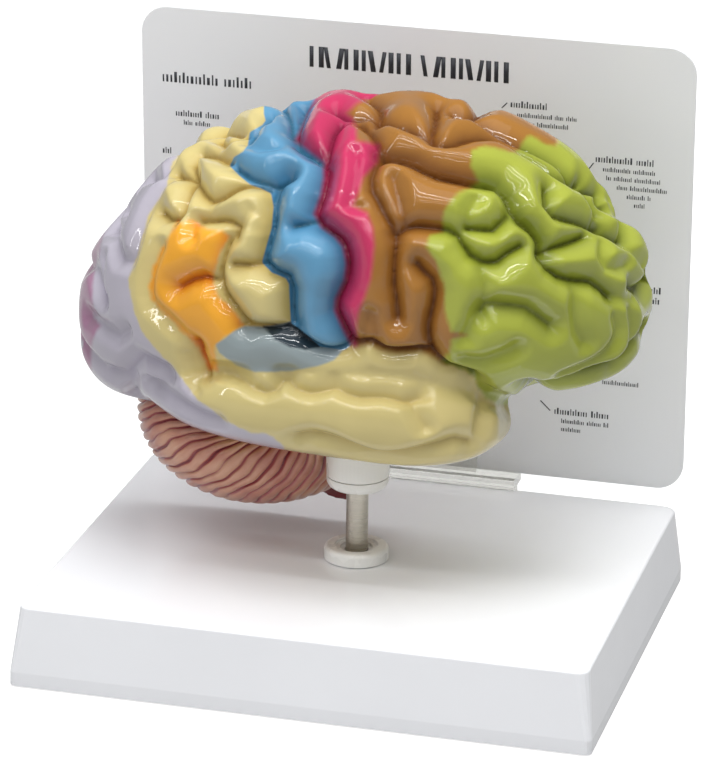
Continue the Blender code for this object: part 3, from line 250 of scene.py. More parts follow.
# Folds of the sides that the viewer doesn't see, drawn square on to each side. The two coordinates are
# X and Z on the inner side, X and Y from above and below, and Y and Z from the back and the front.
HIDDEN_FOLDS = {
    "callosal": deep(
        (-28, 99), (-30, 106), (-24, 113), (-10, 117), (8, 118), (22, 116), (32, 110), (34, 102), (28, 97),
        side="inner"),
    "cingulate": deep(
        (26, 84), (42, 92), (50, 104), (48, 117), (36, 128), (16, 132), (-6, 132), (-24, 130), (-31, 138),
        (-32, 147), side="inner"),
    "subparietal": plain((-31, 131), (-40, 124), (-44, 116), (-40, 108), side="inner"),
    "parieto_occipital": deep((-58, 131), (-52, 118), (-48, 106), (-43, 96), side="inner"),
    "calcarine": deep((-82, 84), (-72, 91), (-60, 92), (-48, 97), (-36, 94), side="inner"),
    "lingual": plain((-76, 75), (-60, 79), (-42, 82), (-28, 80), side="inner"),
    "cuneus": plain((-74, 101), (-66, 108), (-60, 104), side="inner"),
    "precuneus": plain((-47, 134), (-42, 127), side="inner"),
    "paracentral": plain((2, 152), (0, 144), (-8, 138), side="inner"),
    "medial_frontal_a": plain((20, 152), (24, 143), (34, 138), (46, 138), side="inner"),
    "medial_frontal_b": plain((58, 134), (60, 122), (66, 112), side="inner"),
    "medial_frontal_c": plain((72, 100), (62, 98), (58, 90), (44, 84), side="inner"),
    "fornix": plain((-22, 97), (-10, 104), (8, 107), (20, 103), (24, 96), side="inner"),
    "thalamus": plain((-20, 90), (-12, 97), (2, 98), (10, 92), (6, 84), (-8, 81), (-20, 90), side="inner"),
    "top_central": plain((-20, -4), (-24, 8), (-29, 20), side="top"),
    "top_precentral": plain((4, -2), (2, 10), (-4, 18), side="top"),
    "top_frontal_a": plain((22, 12), (36, 8), (52, 10), (64, 8), side="top"),
    "top_frontal_b": plain((26, 24), (28, 16), (24, 8), side="top"),
    "top_parietal": plain((-36, 2), (-44, 12), (-52, 12), (-58, 22), side="top"),
    "top_parietal_b": plain((-42, 22), (-46, 13), side="top"),
    "back_upper": faint((18, 118), (8, 112), (-4, 116), side="back"),
    "back_middle": faint((22, 100), (10, 98), (0, 102), (-12, 96), side="back"),
    "back_lower": faint((22, 82), (12, 84), (2, 78), (-8, 76), side="back"),
    "front_upper": plain((22, 124), (12, 120), (4, 126), side="front"),
    "front_middle": plain((24, 108), (14, 106), (6, 110), side="front"),
    "front_lower": plain((22, 92), (12, 93), (2, 88), (-8, 86), side="front"),
    "olfactory": plain((68, 19), (54, 20), (40, 20), (28, 18), side="under"),
    "orbital_a": plain((62, 6), (52, 8), (44, 2), (36, 4), side="under"),
    "orbital_b": plain((52, -12), (50, -2), (52, 8), side="under"),
    "collateral": plain((26, 2), (12, 4), (-6, 6), (-24, 8), (-40, 10), side="under"),
    "occipitotemporal": plain((28, -12), (14, -16), (-8, -18), (-28, -16), (-46, -8), side="under"),
}


# Outlines of the painted areas, as seen by the viewer. They run on past the edge of the brain.
# The two edges are shared: blue meets pink at the first, and pink meets brown at the second.
CENTRAL_EDGE = [
    (-3, -12), (-5.5, -7), (-7.3, -3), (-7, 0), (-4.6, 5), (-4, 10), (-5, 15), (-7.5, 18.2), (-11, 20.5),
    (-13, 24), (-11.2, 29), (-10.3, 34), (-10.3, 38.4), (-14, 41.3), (-18.2, 44.6), (-17.4, 46),
    (-15.4, 50), (-14, 53.6), (-11.8, 56.7), (-11.8, 62)]
PINK_FRONT_EDGE = [
    (1, 62), (1, 56.5), (-2, 55), (-5, 52), (-3, 50.5), (-2, 48), (-2, 44), (2, 43.5), (4.5, 43), (4, 38.5),
    (0, 34.5), (-1.5, 30), (-3, 26), (1, 24), (2.5, 20), (3, 15), (2.5, 10), (2, 6), (1, 3), (0, 0),
    (-1.5, -4), (-2, -7)]
PAINTED = {
    "lilac": [
        (-50, 62), (-50, 42), (-53, 38.5), (-54, 35), (-54.5, 32), (-57, 28), (-59.5, 24), (-61.5, 18),
        (-63, 12), (-64.5, 8), (-65.3, 5.5), (-64.7, 1), (-63.5, -4), (-61.5, -9), (-58.5, -13), (-55, -17),
        (-52, -20), (-49.5, -23.5), (-46, -28), (-42, -31), (-38, -34), (-31, -37.5), (-27, -37.5),
        (-25, -38.5), (-22, -41), (-16, -60), (-120, -60), (-120, 62)],
    "mauve": [
        (-70, 24), (-72.6, 18), (-74.4, 10), (-75.4, 5), (-75.6, 0), (-75, -5), (-73, -7.4), (-74.4, -9),
        (-75.6, -12), (-75.9, -16), (-75.6, -21), (-120, -30), (-120, 30)],
    "orange": [
        (-53, 20), (-56, 14), (-58.5, 9), (-59.5, 4), (-59, 0), (-56.5, -3), (-54, -5), (-50, -9),
        (-47, -12), (-45.5, -14), (-44, -17), (-43, -19.6), (-40.4, -20), (-41, -16.4), (-41, -12.7),
        (-38, -10.5), (-36, -9), (-32.6, -7.3), (-35, -4), (-38, -1), (-40.5, 1), (-41.6, 4), (-41.5, 8),
        (-40, 12), (-37, 17.8), (-39, 19.3), (-43, 19.8), (-46.4, 21.4), (-48.4, 22.4), (-50, 20.6),
        (-51.4, 22.2)],
    "grey": [
        (-41, -12.7), (-38, -10.5), (-36, -9), (-33, -7.3), (-27.5, -7.6), (-19.5, -6.2), (-17, -8),
        (-11.5, -12.6), (-5, -13.6), (-6, -15), (-8, -17), (-12, -18.5), (-16, -19.3), (-20, -20),
        (-25, -20.3), (-30, -20.2), (-35, -18.5), (-40, -15)],
    # Painted shadow: the dark area inside the lateral fissure, under its upper lip.
    "fissure_shadow": [
        (-27.5, -7.6), (-22, -7.4), (-19.5, -6.2), (-17.2, -7.8), (-13, -11.2), (-11.2, -12.9),
        (-16, -13.7), (-20, -13), (-24, -11)],
    "blue": [
        (-27, 62), (-27, 52), (-26.5, 50), (-27.5, 48.5), (-31, 46.5), (-31.5, 43), (-33, 41),
        (-35.5, 39.5), (-36.5, 37.5), (-34, 35), (-31, 32.5), (-28, 31.5), (-25, 30), (-24.3, 26),
        (-24.8, 20), (-26, 16), (-27.5, 10.5), (-25, 8), (-21, 6.3), (-20, 4.5), (-19.8, 0), (-19.5, -5.5),
        (-19.3, -6.4), (-17, -8), (-11.5, -12.7), (-5, -13.7), *CENTRAL_EDGE],
    "pink": [*PINK_FRONT_EDGE, (-2, -12.7), *CENTRAL_EDGE],
    "brown": [
        *PINK_FRONT_EDGE, (-2.2, -12.7), (2.5, -11.7), (6, -13.5), (10, -14.1), (16, -13.7), (19.5, -15),
        (23.5, -17.5), (40, 0), (60, 62)],
    "green": [
        (54.4, 42.4), (50.5, 44), (47, 45.8), (44.5, 43.5), (43.5, 41.5), (38, 42), (34, 43), (31, 42),
        (30.5, 40), (30.5, 37), (32.5, 33), (30, 31), (27, 30), (25, 28), (23, 25), (22.5, 22), (22.5, 19),
        (19, 18), (18, 15.5), (19, 13), (20.5, 11), (22, 7), (23, 3), (23, -3), (24, -6), (25, -9),
        (29, -10), (25, -11), (25, -14), (22.5, -17), (24, -18), (28, -19.2), (31, -21), (32.6, -24.6),
        (34.4, -27.8), (38, -29.5), (42, -29.4), (60, -60), (120, -60), (120, 62), (58, 62)],
}

# The same areas on the sides that face away from the viewer, by X and Z.
HIDDEN_PAINT = {
    "lilac": [
        (-50, 190), (-53, 137), (-50, 120), (-46, 104), (-43, 94), (-46, 70), (-40, 62), (-26, 40),
        (-130, 40), (-130, 190)],
    "mauve": [
        (-130, 112), (-84, 112), (-74, 106), (-60, 99), (-48, 101), (-39, 96), (-44, 89), (-60, 83),
        (-76, 77), (-130, 78)],
    "blue": [
        (-28, 190), (-30, 152), (-31, 142), (-32, 132), (-25, 132), (-22, 142), (-19, 152), (-18, 190)],
    "pink": [(-18, 190), (-19, 152), (-22, 142), (-25, 132), (-7, 131), (-5, 140), (-2, 152), (-1, 190)],
    "brown": [
        (-1, 190), (-2, 152), (-5, 140), (-7, 131), (20, 131), (33, 125), (44, 138), (50, 150), (53, 190)],
    "green": [
        (53, 190), (50, 150), (44, 138), (33, 125), (40, 116), (41, 100), (32, 88), (26, 76), (44, 73),
        (50, 40), (130, 40), (130, 190)],
    "white_matter": [
        (-28, 99), (-30, 106), (-24, 113), (-10, 117), (8, 118), (22, 116), (32, 110), (34, 102), (28, 97),
        (24, 97), (26, 102), (20, 107), (8, 110), (-10, 109), (-21, 105)],
    "core": [(-21, 103), (-10, 108), (8, 109), (20, 106), (24, 99), (22, 88), (10, 76), (-20, 76)],
}


def linked(data, name="work"):
    """A new object in the scene, with this data."""
    obj = bpy.data.objects.new(name, data)
    bpy.context.scene.collection.objects.link(obj)
    return obj


def mesh_from(bm):
    mesh = bpy.data.meshes.new("work")
    bm.to_mesh(mesh)
    bm.free()
    return mesh


def evaluated_mesh(obj):
    """The object's mesh with its modifiers; the object itself goes."""
    graph = bpy.context.evaluated_depsgraph_get()
    mesh = bpy.data.meshes.new_from_object(obj.evaluated_get(graph))
    bpy.data.objects.remove(obj)
    return mesh


def combined(mesh, other, operation):
    """A Boolean of two meshes, as one mesh."""
    obj, tool = linked(mesh), linked(other)
    boolean = obj.modifiers.new("combine", "BOOLEAN")
    boolean.operation, boolean.solver, boolean.object = operation, "EXACT", tool
    result = evaluated_mesh(obj)
    bpy.data.objects.remove(tool)
    return result


def box(low, high):
    bm = bmesh.new()
    bmesh.ops.create_cube(bm, size=1)
    low, high = Vector(low), Vector(high)
    place = Matrix.Translation((low + high) / 2) @ Matrix.Diagonal((*(high - low), 1))
    bmesh.ops.transform(bm, matrix=place, verts=bm.verts)
    return mesh_from(bm)


def softened(mesh, rounds, voxel=None):
    """The mesh smoothed, after a remesh if a voxel's size is given."""
    obj = linked(mesh)
    if voxel:
        remesh = obj.modifiers.new("remesh", "REMESH")
        remesh.mode, remesh.voxel_size, remesh.adaptivity = "VOXEL", voxel, 0.0
    smooth = obj.modifiers.new("smooth", "SMOOTH")
    smooth.factor, smooth.iterations = 0.5, rounds
    return evaluated_mesh(obj)


def loft(rings):
    """A closed skin through rings with the same number of points, capped at both ends."""
    bm = bmesh.new()
    rows = [[bm.verts.new(point) for point in ring] for ring in rings]
    count = len(rows[0])
    for low, high in zip(rows, rows[1:]):
        for i in range(count):
            following = (i + 1) % count
            bm.faces.new((low[i], low[following], high[following], high[i]))
    bm.faces.new(reversed(rows[0]))
    bm.faces.new(rows[-1])
    bmesh.ops.recalc_face_normals(bm, faces=bm.faces)
    return mesh_from(bm)


def view_axes():
    forward = Vector((-sin(VIEW_AZIMUTH) * cos(VIEW_ELEVATION), cos(VIEW_AZIMUTH) * cos(VIEW_ELEVATION),
                      -sin(VIEW_ELEVATION)))
    level = Vector((cos(VIEW_AZIMUTH), sin(VIEW_AZIMUTH), 0.0))
    upright = level.cross(forward)
    right = level * cos(VIEW_ROLL) + upright * sin(VIEW_ROLL)
    return right, upright * cos(VIEW_ROLL) - level * sin(VIEW_ROLL)


def sight_line(side, a, b):
    """Start and direction of the line that takes a drawn point to the surface."""
    if side == "outer":
        right, up = view_axes()
        return VIEW_EYE, (VIEW_CENTRE + a * right + b * up - VIEW_EYE).normalized()
    start, along = {
        "inner": ((a, 300, b), (0, -1, 0)),
        "top": ((a, b, 300), (0, 0, -1)),
        "under": ((a, b, -100), (0, 0, 1)),
        "back": ((-300, a, b), (1, 0, 0)),
        "front": ((300, a, b), (-1, 0, 0)),
    }[side]
    return Vector(start), Vector(along)


def curved(points, i, t):
    """The smooth curve through the points, t of the way from one of them to the next."""
    before, start, end, after = (points[min(max(k, 0), len(points) - 1)] for k in range(i - 1, i + 3))
    return 0.5 * (2 * start + (end - before) * t + (2 * before - 5 * start + 4 * end - after) * t**2
                  + (3 * start - before - 3 * end + after) * t**3)


def traced(fold, surface, step=2.0):
    """A fold's course as points on the surface, close enough together to follow it."""
    drawn, found = np.array(fold.course, float), []
    for i in range(len(drawn) - 1):
        pieces = max(1, int(hypot(*(drawn[i + 1] - drawn[i])) / step))
        for k in range(pieces + 1):
            a, b = curved(drawn, i, k / pieces).tolist()
            hit = mouth_of(fold, surface, *sight_line(fold.side, a, b))
            if hit is not None and (not found or (hit - found[-1]).length > 0.2):
                found.append(hit)
    return np.array([tuple(point) for point in found])


def mouth_of(fold, surface, start, along, tries=4):
    """Where a fold is on the smooth surface, when its bottom is seen on a line."""
    slip, found = Vector(), None
    for _ in range(tries):
        hit, normal = surface.ray_cast(start - slip, along)[:2]
        if hit is None:
            break
        found = hit
        bottom = hit - normal * fold.depth * FOLD_SEEN - start
        slip += bottom - along * bottom.dot(along)
        slip *= min(1.0, FOLD_SLIP / max(slip.length, FOLD_SLIP))
    return found


def distance_to_course(points, course):
    """Distance of each point to a polyline."""
    nearest = np.full(len(points), 1e9)
    for start, end in zip(course, course[1:]):
        along = end - start
        part = np.clip((points - start) @ along / max(along @ along, 1e-9), 0, 1)
        nearest = np.minimum(nearest, np.linalg.norm(points - start - part[:, None] * along, axis=1))
    return nearest


def fold_relief(points, surface, folds):
    """How far each point of the smooth lobe sinks, and how near it is to the bottom of a crease, up to 1.

    Every gyrus keeps a round crown between its folds.
    """
    total, line = np.zeros(len(points)), np.zeros(len(points))
    for fold in folds:
        course = traced(fold, surface)
        if len(course) < 2:
            continue
        reach = fold.radius * FOLD_REACH
        near = np.all((points > course.min(0) - reach) & (points < course.max(0) + reach), axis=1)
        distance = distance_to_course(points[near], course)
        share, swell = (1 - np.clip(distance / width, 0, 1) for width in (fold.radius, reach))
        tube, soft = 1 - np.sqrt(1 - share**2), share**2 * (3 - 2 * share)
        profile = fold.steepness * tube + (1 - fold.steepness) * soft + FOLD_SWELL * swell**2
        total[near] += (fold.depth * profile) ** FOLD_BLEND
        # How strongly the painted shade line darkens each point near the bottom of the crease.
        crease_shade = fold.steepness / FOLD_STEEPNESS * (1 - np.clip(distance / LINE_WIDTH, 0, 1))
        line[near] = np.maximum(line[near], crease_shade)
    return total ** (1 / FOLD_BLEND), line


def ring(x, top, bottom, outer, inner, rounding, count=48):
    """One slice across a lobe: a rounded oval, flatter on its inner side."""
    crown = inner - rounding
    middle = bottom + WIDEST * (top - bottom)
    points = []
    for i in range(count):
        across, up = cos(2 * pi * i / count), sin(2 * pi * i / count)
        power = 2 / (INNER_SQUARENESS if across > 0 else OUTER_SQUARENESS)
        width = rounding if across > 0 else crown - outer
        height = top - middle if up > 0 else middle - bottom
        y = crown + width * abs(across) ** power * (1 if across > 0 else -1)
        z = middle + height * abs(up) ** power * (1 if up > 0 else -1)
        points.append(Vector((x, y, z)))
    return points


def lobe(slices, between=4):
    """A lobe through its slices, with others on a smooth line between them."""
    table = np.array(slices)
    steps = [(i, k / between) for i in range(len(table) - 1) for k in range(between)]
    return loft([ring(*row) for row in [*(curved(table, *step) for step in steps), table[-1]]])


def lobe_block():
    """The cerebrum without its folds: the mantle and the temporal lobe run together and smoothed."""
    return softened(combined(lobe(MANTLE), lobe(TEMPORAL), "UNION"), LOBE_SMOOTHING, LOBE_VOXEL)


def cerebrum():
    """The folded cerebrum, with a layer of distances for each painted area."""
    mesh = lobe_block()
    surface = BVHTree.FromPolygons([v.co for v in mesh.vertices], [tuple(p.vertices) for p in mesh.polygons])
    points, normals = read_points(mesh, "co"), read_points(mesh, "normal")
    relief, line = fold_relief(points, surface, [*OUTER_FOLDS.values(), *HIDDEN_FOLDS.values()])
    moved = points - normals * relief[:, None]
    mesh.vertices.foreach_set("co", moved.ravel())
    mesh = softened(mesh, 1)
    moved = read_points(mesh, "co")
    facing = ((np.array(VIEW_EYE) - points) * normals).sum(axis=1) > 0
    sides = (drawn_coordinates(moved), PAINTED), (moved[:, [0, 2]], HIDDEN_PAINT)
    # The folds' depth and the nearness to a crease's bottom, which carry the painted shade.
    layer(mesh, "groove", relief / GROOVE_DEPTH)
    layer(mesh, "line", line)
    for area in dict.fromkeys([*PAINTED, *HIDDEN_PAINT]):
        front, back = (inside_by(at, drawn[area]) if area in drawn else UNPAINTED for at, drawn in sides)
        layer(mesh, area, np.where(facing, front, back))
    return mesh


def read_points(mesh, name):
    found = np.empty(len(mesh.vertices) * 3)
    mesh.vertices.foreach_get(name, found)
    return found.reshape(-1, 3)


def layer(mesh, name, values):
    mesh.attributes.new(name, "FLOAT", "POINT").data.foreach_set("value", values.astype(np.float32))


def drawn_coordinates(points):
    """U and V of each point, as the viewer sees it."""
    right, up = (np.array(axis) for axis in view_axes())
    ahead = np.cross(up, right)
    centre = np.array(VIEW_CENTRE - VIEW_EYE)
    lines = points - np.array(VIEW_EYE)
    lines *= (centre @ ahead / (lines @ ahead))[:, None]
    return np.stack([(lines - centre) @ right, (lines - centre) @ up], axis=1)


def inside_by(points, outline):
    """How far each point lies inside a closed outline, in millimetres, and below zero outside it."""
    outline = np.array([*outline, outline[0]], float)
    inside = np.zeros(len(points), bool)
    for start, end in zip(outline, outline[1:]):
        if start[1] != end[1]:
            crosses = (start[1] > points[:, 1]) != (end[1] > points[:, 1])
            slope = (end[0] - start[0]) / (end[1] - start[1])
            inside ^= crosses & (points[:, 0] < start[0] + slope * (points[:, 1] - start[1]))
    nearest = distance_to_course(points, outline)
    return np.where(inside, nearest, -nearest)


def cerebellum():
    """Half a flattened ball with its leaves, whose grooves fan out from the hub."""
    bm = bmesh.new()
    bmesh.ops.create_uvsphere(bm, u_segments=LEAVES * LEAF_STEPS, v_segments=LEAF_RINGS, radius=1)
    facing = Vector((0, 0, 1)).rotation_difference(Vector(CEREBELLUM_HUB))
    depths = []
    for vert in bm.verts:
        reach, turn = hypot(vert.co.x, vert.co.y), atan2(vert.co.y, vert.co.x)
        leaf = turn / (2 * pi) * LEAVES
        number = floor(leaf + 0.5)
        share = 1 - 2 * abs(leaf - number)  # 1 in a groove, 0 on a crown
        uneven = 0.75 + 0.25 * sin(2.4 * number) * cos(5 * vert.co.z + number)
        fade = min(1.0, 2.5 * reach)  # the grooves run out near the hub
        groove = uneven * (1 - (1 - share**2) ** 0.5) * fade
        sink = 1 - LEAF_DEPTH / CEREBELLUM_WIDTH * groove * 1.6
        turn += 0.03 * sin(7 * vert.co.z + 3 * sin(2 * turn)) + 0.006 * sin(23 * vert.co.z + 1.7 * number)
        ball = facing @ Vector((reach * cos(turn), reach * sin(turn), vert.co.z)) * sink
        along, outward = CEREBELLUM_REACH * ball.x, -CEREBELLUM_WIDTH * ball.y
        height = (CEREBELLUM_RISE if ball.z > 0 else CEREBELLUM_DROP) * ball.z
        vert.co = (CEREBELLUM_CENTRE[0] + along - CEREBELLUM_SWEEP * outward, CEREBELLUM_CENTRE[1] - outward,
                   CEREBELLUM_CENTRE[2] + height - CEREBELLUM_TILT * along)
        depths.append(uneven * share**2 * fade)
    mark = bm.verts.layers.float.new("groove")
    for vert, depth in zip(bm.verts, depths):
        vert[mark] = depth
    cut = bmesh.ops.bisect_plane(bm, geom=[*bm.verts, *bm.edges, *bm.faces], plane_co=(0, MIDLINE - GAP, 0),
                                 plane_no=(0, 1, 0), clear_outer=True)
    rim = [item for item in cut["geom_cut"] if isinstance(item, bmesh.types.BMEdge)]
    bmesh.ops.edgeloop_fill(bm, edges=rim)
    bmesh.ops.recalc_face_normals(bm, faces=bm.faces)
    return mesh_from(bm)


def brain_stem():
    """The pons and the medulla, run together and halved at the midline."""
    top, foot = (Vector((x, MIDLINE, z)) for x, z in (STEM_TOP, STEM_FOOT))
    axis = top - foot
    bm = bmesh.new()
    place = Matrix.Translation((top + foot) / 2) @ axis.to_track_quat("Z", "Y").to_matrix().to_4x4()
    bmesh.ops.create_cone(bm, cap_ends=True, segments=32, radius1=STEM_FOOT_RADIUS, radius2=STEM_TOP_RADIUS,
                          depth=axis.length, matrix=place)
    medulla = mesh_from(bm)
    bm = bmesh.new()
    place = Matrix.Translation((PONS_CENTRE[0], MIDLINE, PONS_CENTRE[1])) @ Matrix.Diagonal((*PONS_SIZE, 1))
    bmesh.ops.create_uvsphere(bm, u_segments=32, v_segments=20, radius=1, matrix=place)
    whole = combined(medulla, mesh_from(bm), "UNION")
    reach = top.z + STEM_TOP_RADIUS + PONS_SIZE[1]
    whole = combined(whole, box((-reach, MIDLINE - reach, 0), (reach, MIDLINE - GAP, reach)), "INTERSECT")
    return softened(whole, STEM_SMOOTHING, STEM_VOXEL)


def add_piece(name, mesh, finish, body, at=(0, 0, 0), tilt=0.0):
    """A shown piece, from a mesh in millimetres, that rides on a body of the frame."""
    mesh.transform(Matrix.Scale(MM, 4))
    mesh.name = name
    mesh.shade_smooth()
    obj = linked(mesh, name)
    obj.location = Vector(at) * MM + SHIFT
    obj.rotation_euler.x = tilt
    mesh.materials.clear()
    mesh.materials.append(finish)
    bpy.context.view_layer.update()
    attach(obj, body)
    return obj


# Materials

def srgb(red, green, blue):
    """A colour as a screen shows it, from 0 to 255, in the linear values that shaders use."""
    return tuple(c / 12.92 if c <= 0.04045 else ((c + 0.055) / 1.055) ** 2.4
                 for c in (red / 255, green / 255, blue / 255)) + (1.0,)


class Nodes:
    """The nodes of a material or a world, and short ways to wire them."""

    def __init__(self, owner):
        owner.use_nodes = True
        self.owner, self.tree = owner, owner.node_tree

    def link(self, value, socket):
        if isinstance(value, bpy.types.NodeSocket):
            self.tree.links.new(value, socket)
        else:
            socket.default_value = value

    def wire(self, node, *values, **named):
        """Sets or links a node's inputs, in their order or by their names."""
        for socket, value in zip(node.inputs, values):
            self.link(value, socket)
        for key, value in named.items():
            self.link(value, node.inputs[key.replace("_", " ")])
        return node

    def node(self, kind, settings=None, *values, **named):
        made = self.tree.nodes.new(kind)
        for key, value in (settings or {}).items():
            setattr(made, key, value)
        return self.wire(made, *values, **named)

    def math(self, operation, a, b=0.0):
        return self.node("ShaderNodeMath", {"operation": operation}, a, b).outputs[0]


class Material(Nodes):
    """A material with patterns, ramps and mixes."""

    def __init__(self, name):
        super().__init__(bpy.data.materials.new(name))
        self.place = self.node("ShaderNodeTexCoord").outputs["Object"]

    def stretched(self, across, along, up):
        return self.node("ShaderNodeMapping", Vector=self.place, Scale=(across, along, up)).outputs[0]

    def noise(self, scale, detail=3.0, where=None):
        return self.node("ShaderNodeTexNoise", Vector=where or self.place, Scale=scale, Detail=detail,
                         Roughness=0.55).outputs["Fac"]

    def attribute(self, name):
        return self.node("ShaderNodeAttribute", {"attribute_name": name}).outputs["Fac"]

    def ragged(self, value, noise, amount):
        """The value with noise on it, up to half the amount either way."""
        return self.math("ADD", value, self.math("MULTIPLY", self.math("SUBTRACT", noise, 0.5), amount))

    def ramp(self, value, low, high, to_low=0.0, to_high=1.0, smooth=True):
        shape = {"interpolation_type": "SMOOTHSTEP" if smooth else "LINEAR"}
        return self.node("ShaderNodeMapRange", shape, value, low, high, to_low, to_high).outputs[0]

    def mix(self, share, a, b, blend="MIX"):
        made = self.node("ShaderNodeMix", {"data_type": "RGBA", "blend_type": blend}, share)
        for socket, color in zip([socket for socket in made.inputs if socket.type == "RGBA"], (a, b)):
            self.link(color, socket)
        return [socket for socket in made.outputs if socket.type == "RGBA"][0]

    def bump(self, height, strength, distance, **onto):
        return self.node("ShaderNodeBump", Height=height, Strength=strength, Distance=distance,
                         **onto).outputs[0]

    def set(self, **inputs):
        self.wire(self.tree.nodes["Principled BSDF"], **inputs)
        return self.owner


# Yellow, on the crowns and in the grooves, lies under all the other areas. Its darker colour in the
# grooves is painted shade.
BASE_COAT = srgb(204, 188, 126), srgb(178, 152, 78)

# For each painted area: its colour on the crowns, its darker colour in the grooves, which is painted
# shade, how softly its edge was brushed, how ragged that edge is and how far it runs over what lies
# under it, in millimetres. Later areas lie over earlier ones.
COATS = [
    ("lilac", srgb(178, 173, 185), srgb(138, 128, 156), 0.5, 1.2, 0.0),
    ("mauve", srgb(164, 122, 148), srgb(124, 82, 108), 0.7, 1.0, 0.0),
    ("orange", srgb(232, 162, 44), srgb(204, 98, 20), 0.9, 2.0, 0.0),
    ("grey", srgb(146, 158, 160), srgb(120, 134, 140), 0.5, 0.6, 0.0),
    # Painted shadow: the dark area inside the lateral fissure, under its upper lip.
    ("fissure_shadow", srgb(36, 52, 62), srgb(18, 32, 42), 0.5, 0.6, 0.3),
    ("blue", srgb(92, 146, 180), srgb(50, 108, 144), 0.3, 0.1, 0.5),
    ("brown", srgb(158, 108, 44), srgb(108, 62, 24), 1.3, 1.0, 0.7),
    ("pink", srgb(190, 48, 92), srgb(120, 14, 56), 1.1, 0.15, 0.5),
    ("green", srgb(160, 168, 62), srgb(96, 108, 24), 1.0, 2.4, 0.0),
    ("white_matter", srgb(226, 216, 194), srgb(182, 162, 134), 0.3, 0.2, 0.0),
    ("core", srgb(196, 150, 130), srgb(134, 76, 72), 0.3, 0.2, 0.0),
]


def paint():
    """Thick hand-brushed gloss, each area in its own colour, darkened by painted shade in the folds."""
    made = Material("hand_paint")
    grain = made.noise(260, 4)
    crown, fold_shade = BASE_COAT
    # The dark colour of each area is the painted shade it takes in the folds.
    for area, light, dark, soft, ragged, spread in COATS:
        edge = made.ragged(made.attribute(area), grain, ragged)
        share = made.ramp(edge, -soft - spread, soft - spread)
        crown, fold_shade = made.mix(share, crown, light), made.mix(share, fold_shade, dark)
    # Painted shade: the deeper in a fold, the more of the dark colour.
    wash = made.ramp(made.ragged(made.attribute("groove"), made.noise(90), 0.3), 0.3, 1.1)
    color = made.mix(made.math("MULTIPLY", wash, 0.7), crown, fold_shade)
    # Painted shade: a darker line along the bottom of each sharp crease.
    line = made.ramp(made.ragged(made.attribute("line"), grain, 0.3), 0.1, 1.0)
    shaded = made.mix(1.0, fold_shade, srgb(216, 206, 192), "MULTIPLY")
    color = made.mix(made.math("MULTIPLY", line, 0.8), color, shaded)
    blotch = made.ramp(made.noise(45, 2), 0.3, 0.7, 0.93, 1.05, smooth=False)
    tone = made.node("ShaderNodeHueSaturation", Value=blotch, Color=color).outputs[0]
    lumps = made.bump(made.noise(130, 2), 0.25, 0.0006)
    skin = made.bump(made.noise(900, 2), 0.05, 0.0003, Normal=lumps)
    shine = made.math("SUBTRACT", 1.0, made.math("MULTIPLY", made.attribute("line"), 0.9))
    return made.set(Base_Color=tone, Roughness=0.42, Coat_Weight=shine, Coat_Roughness=0.03, Coat_IOR=1.5,
                    Normal=skin, Coat_Normal=skin, Specular_IOR_Level=0.12)


def leaf_paint():
    """Flesh-coloured leaves of the cerebellum, with a dark red wash in the grooves between them."""
    made = Material("leaf_paint")
    patchy = made.noise(70, 4)
    level = made.ragged(made.attribute("groove"), patchy, 0.45)
    ridge = made.mix(made.ramp(patchy, 0.35, 0.7), srgb(194, 144, 116), srgb(174, 110, 92))
    color = made.mix(made.ramp(level, 0.3, 0.62), ridge, srgb(160, 68, 70))
    color = made.mix(made.ramp(level, 0.6, 0.95), color, srgb(122, 30, 42))
    skin = made.bump(made.noise(700, 3), 0.15, 0.0004)
    return made.set(Base_Color=color, Roughness=0.38, Coat_Weight=0.5, Coat_Roughness=0.16, Normal=skin,
                    Coat_Normal=skin)


def stem_paint():
    """Dark red, brushed on thinly over a paler coat."""
    made = Material("stem_paint")
    color = made.mix(made.ramp(made.noise(110, 4), 0.35, 0.7), srgb(120, 40, 44), srgb(152, 70, 62))
    skin = made.bump(made.noise(400, 3), 0.2, 0.0004)
    return made.set(Base_Color=color, Roughness=0.4, Coat_Weight=0.5, Coat_Roughness=0.18, Normal=skin)


def moulded(name, color, roughness=0.28, grain=0.04):
    """Moulded plastic: nearly even, with a faint mottle and the mould's fine grain."""
    made = Material(name)
    mottle = made.ramp(made.noise(25, 3), 0.3, 0.7, 0.985, 1.01, smooth=False)
    tone = made.node("ShaderNodeHueSaturation", Value=mottle, Color=color).outputs[0]
    shine = made.ramp(made.noise(60, 3), 0.3, 0.7, roughness * 0.9, roughness * 1.15, smooth=False)
    skin = made.bump(made.noise(1500, 2), grain, 0.0002)
    return made.set(Base_Color=tone, Roughness=shine, Normal=skin)


def turned_steel(name, color, roughness):
    """Turned and polished metal, with fine rings round the axis."""
    made = Material(name)
    rings = made.noise(1.0, 2, made.stretched(60, 60, 6000))
    tone = made.mix(made.ramp(rings, 0.3, 0.7), color, tuple(c * 0.92 for c in color[:3]) + (1.0,))
    polish = made.ramp(rings, 0.3, 0.7, roughness, roughness + 0.1)
    skin = made.bump(rings, 0.06, 0.00005)
    return made.set(Base_Color=tone, Metallic=1.0, Roughness=polish, Normal=skin)


def clear_plastic():
    """Thick clear plastic, a little hazy and scuffed."""
    made = Material("clear_plastic")
    skin = made.bump(made.noise(120, 2), 0.02, 0.0003)
    scuffs = made.ramp(made.noise(500, 4), 0.45, 0.75, 0.1, 0.22)
    return made.set(Base_Color=srgb(235, 235, 231), Transmission_Weight=0.8, IOR=1.3, Roughness=scuffs,
                    Normal=skin)


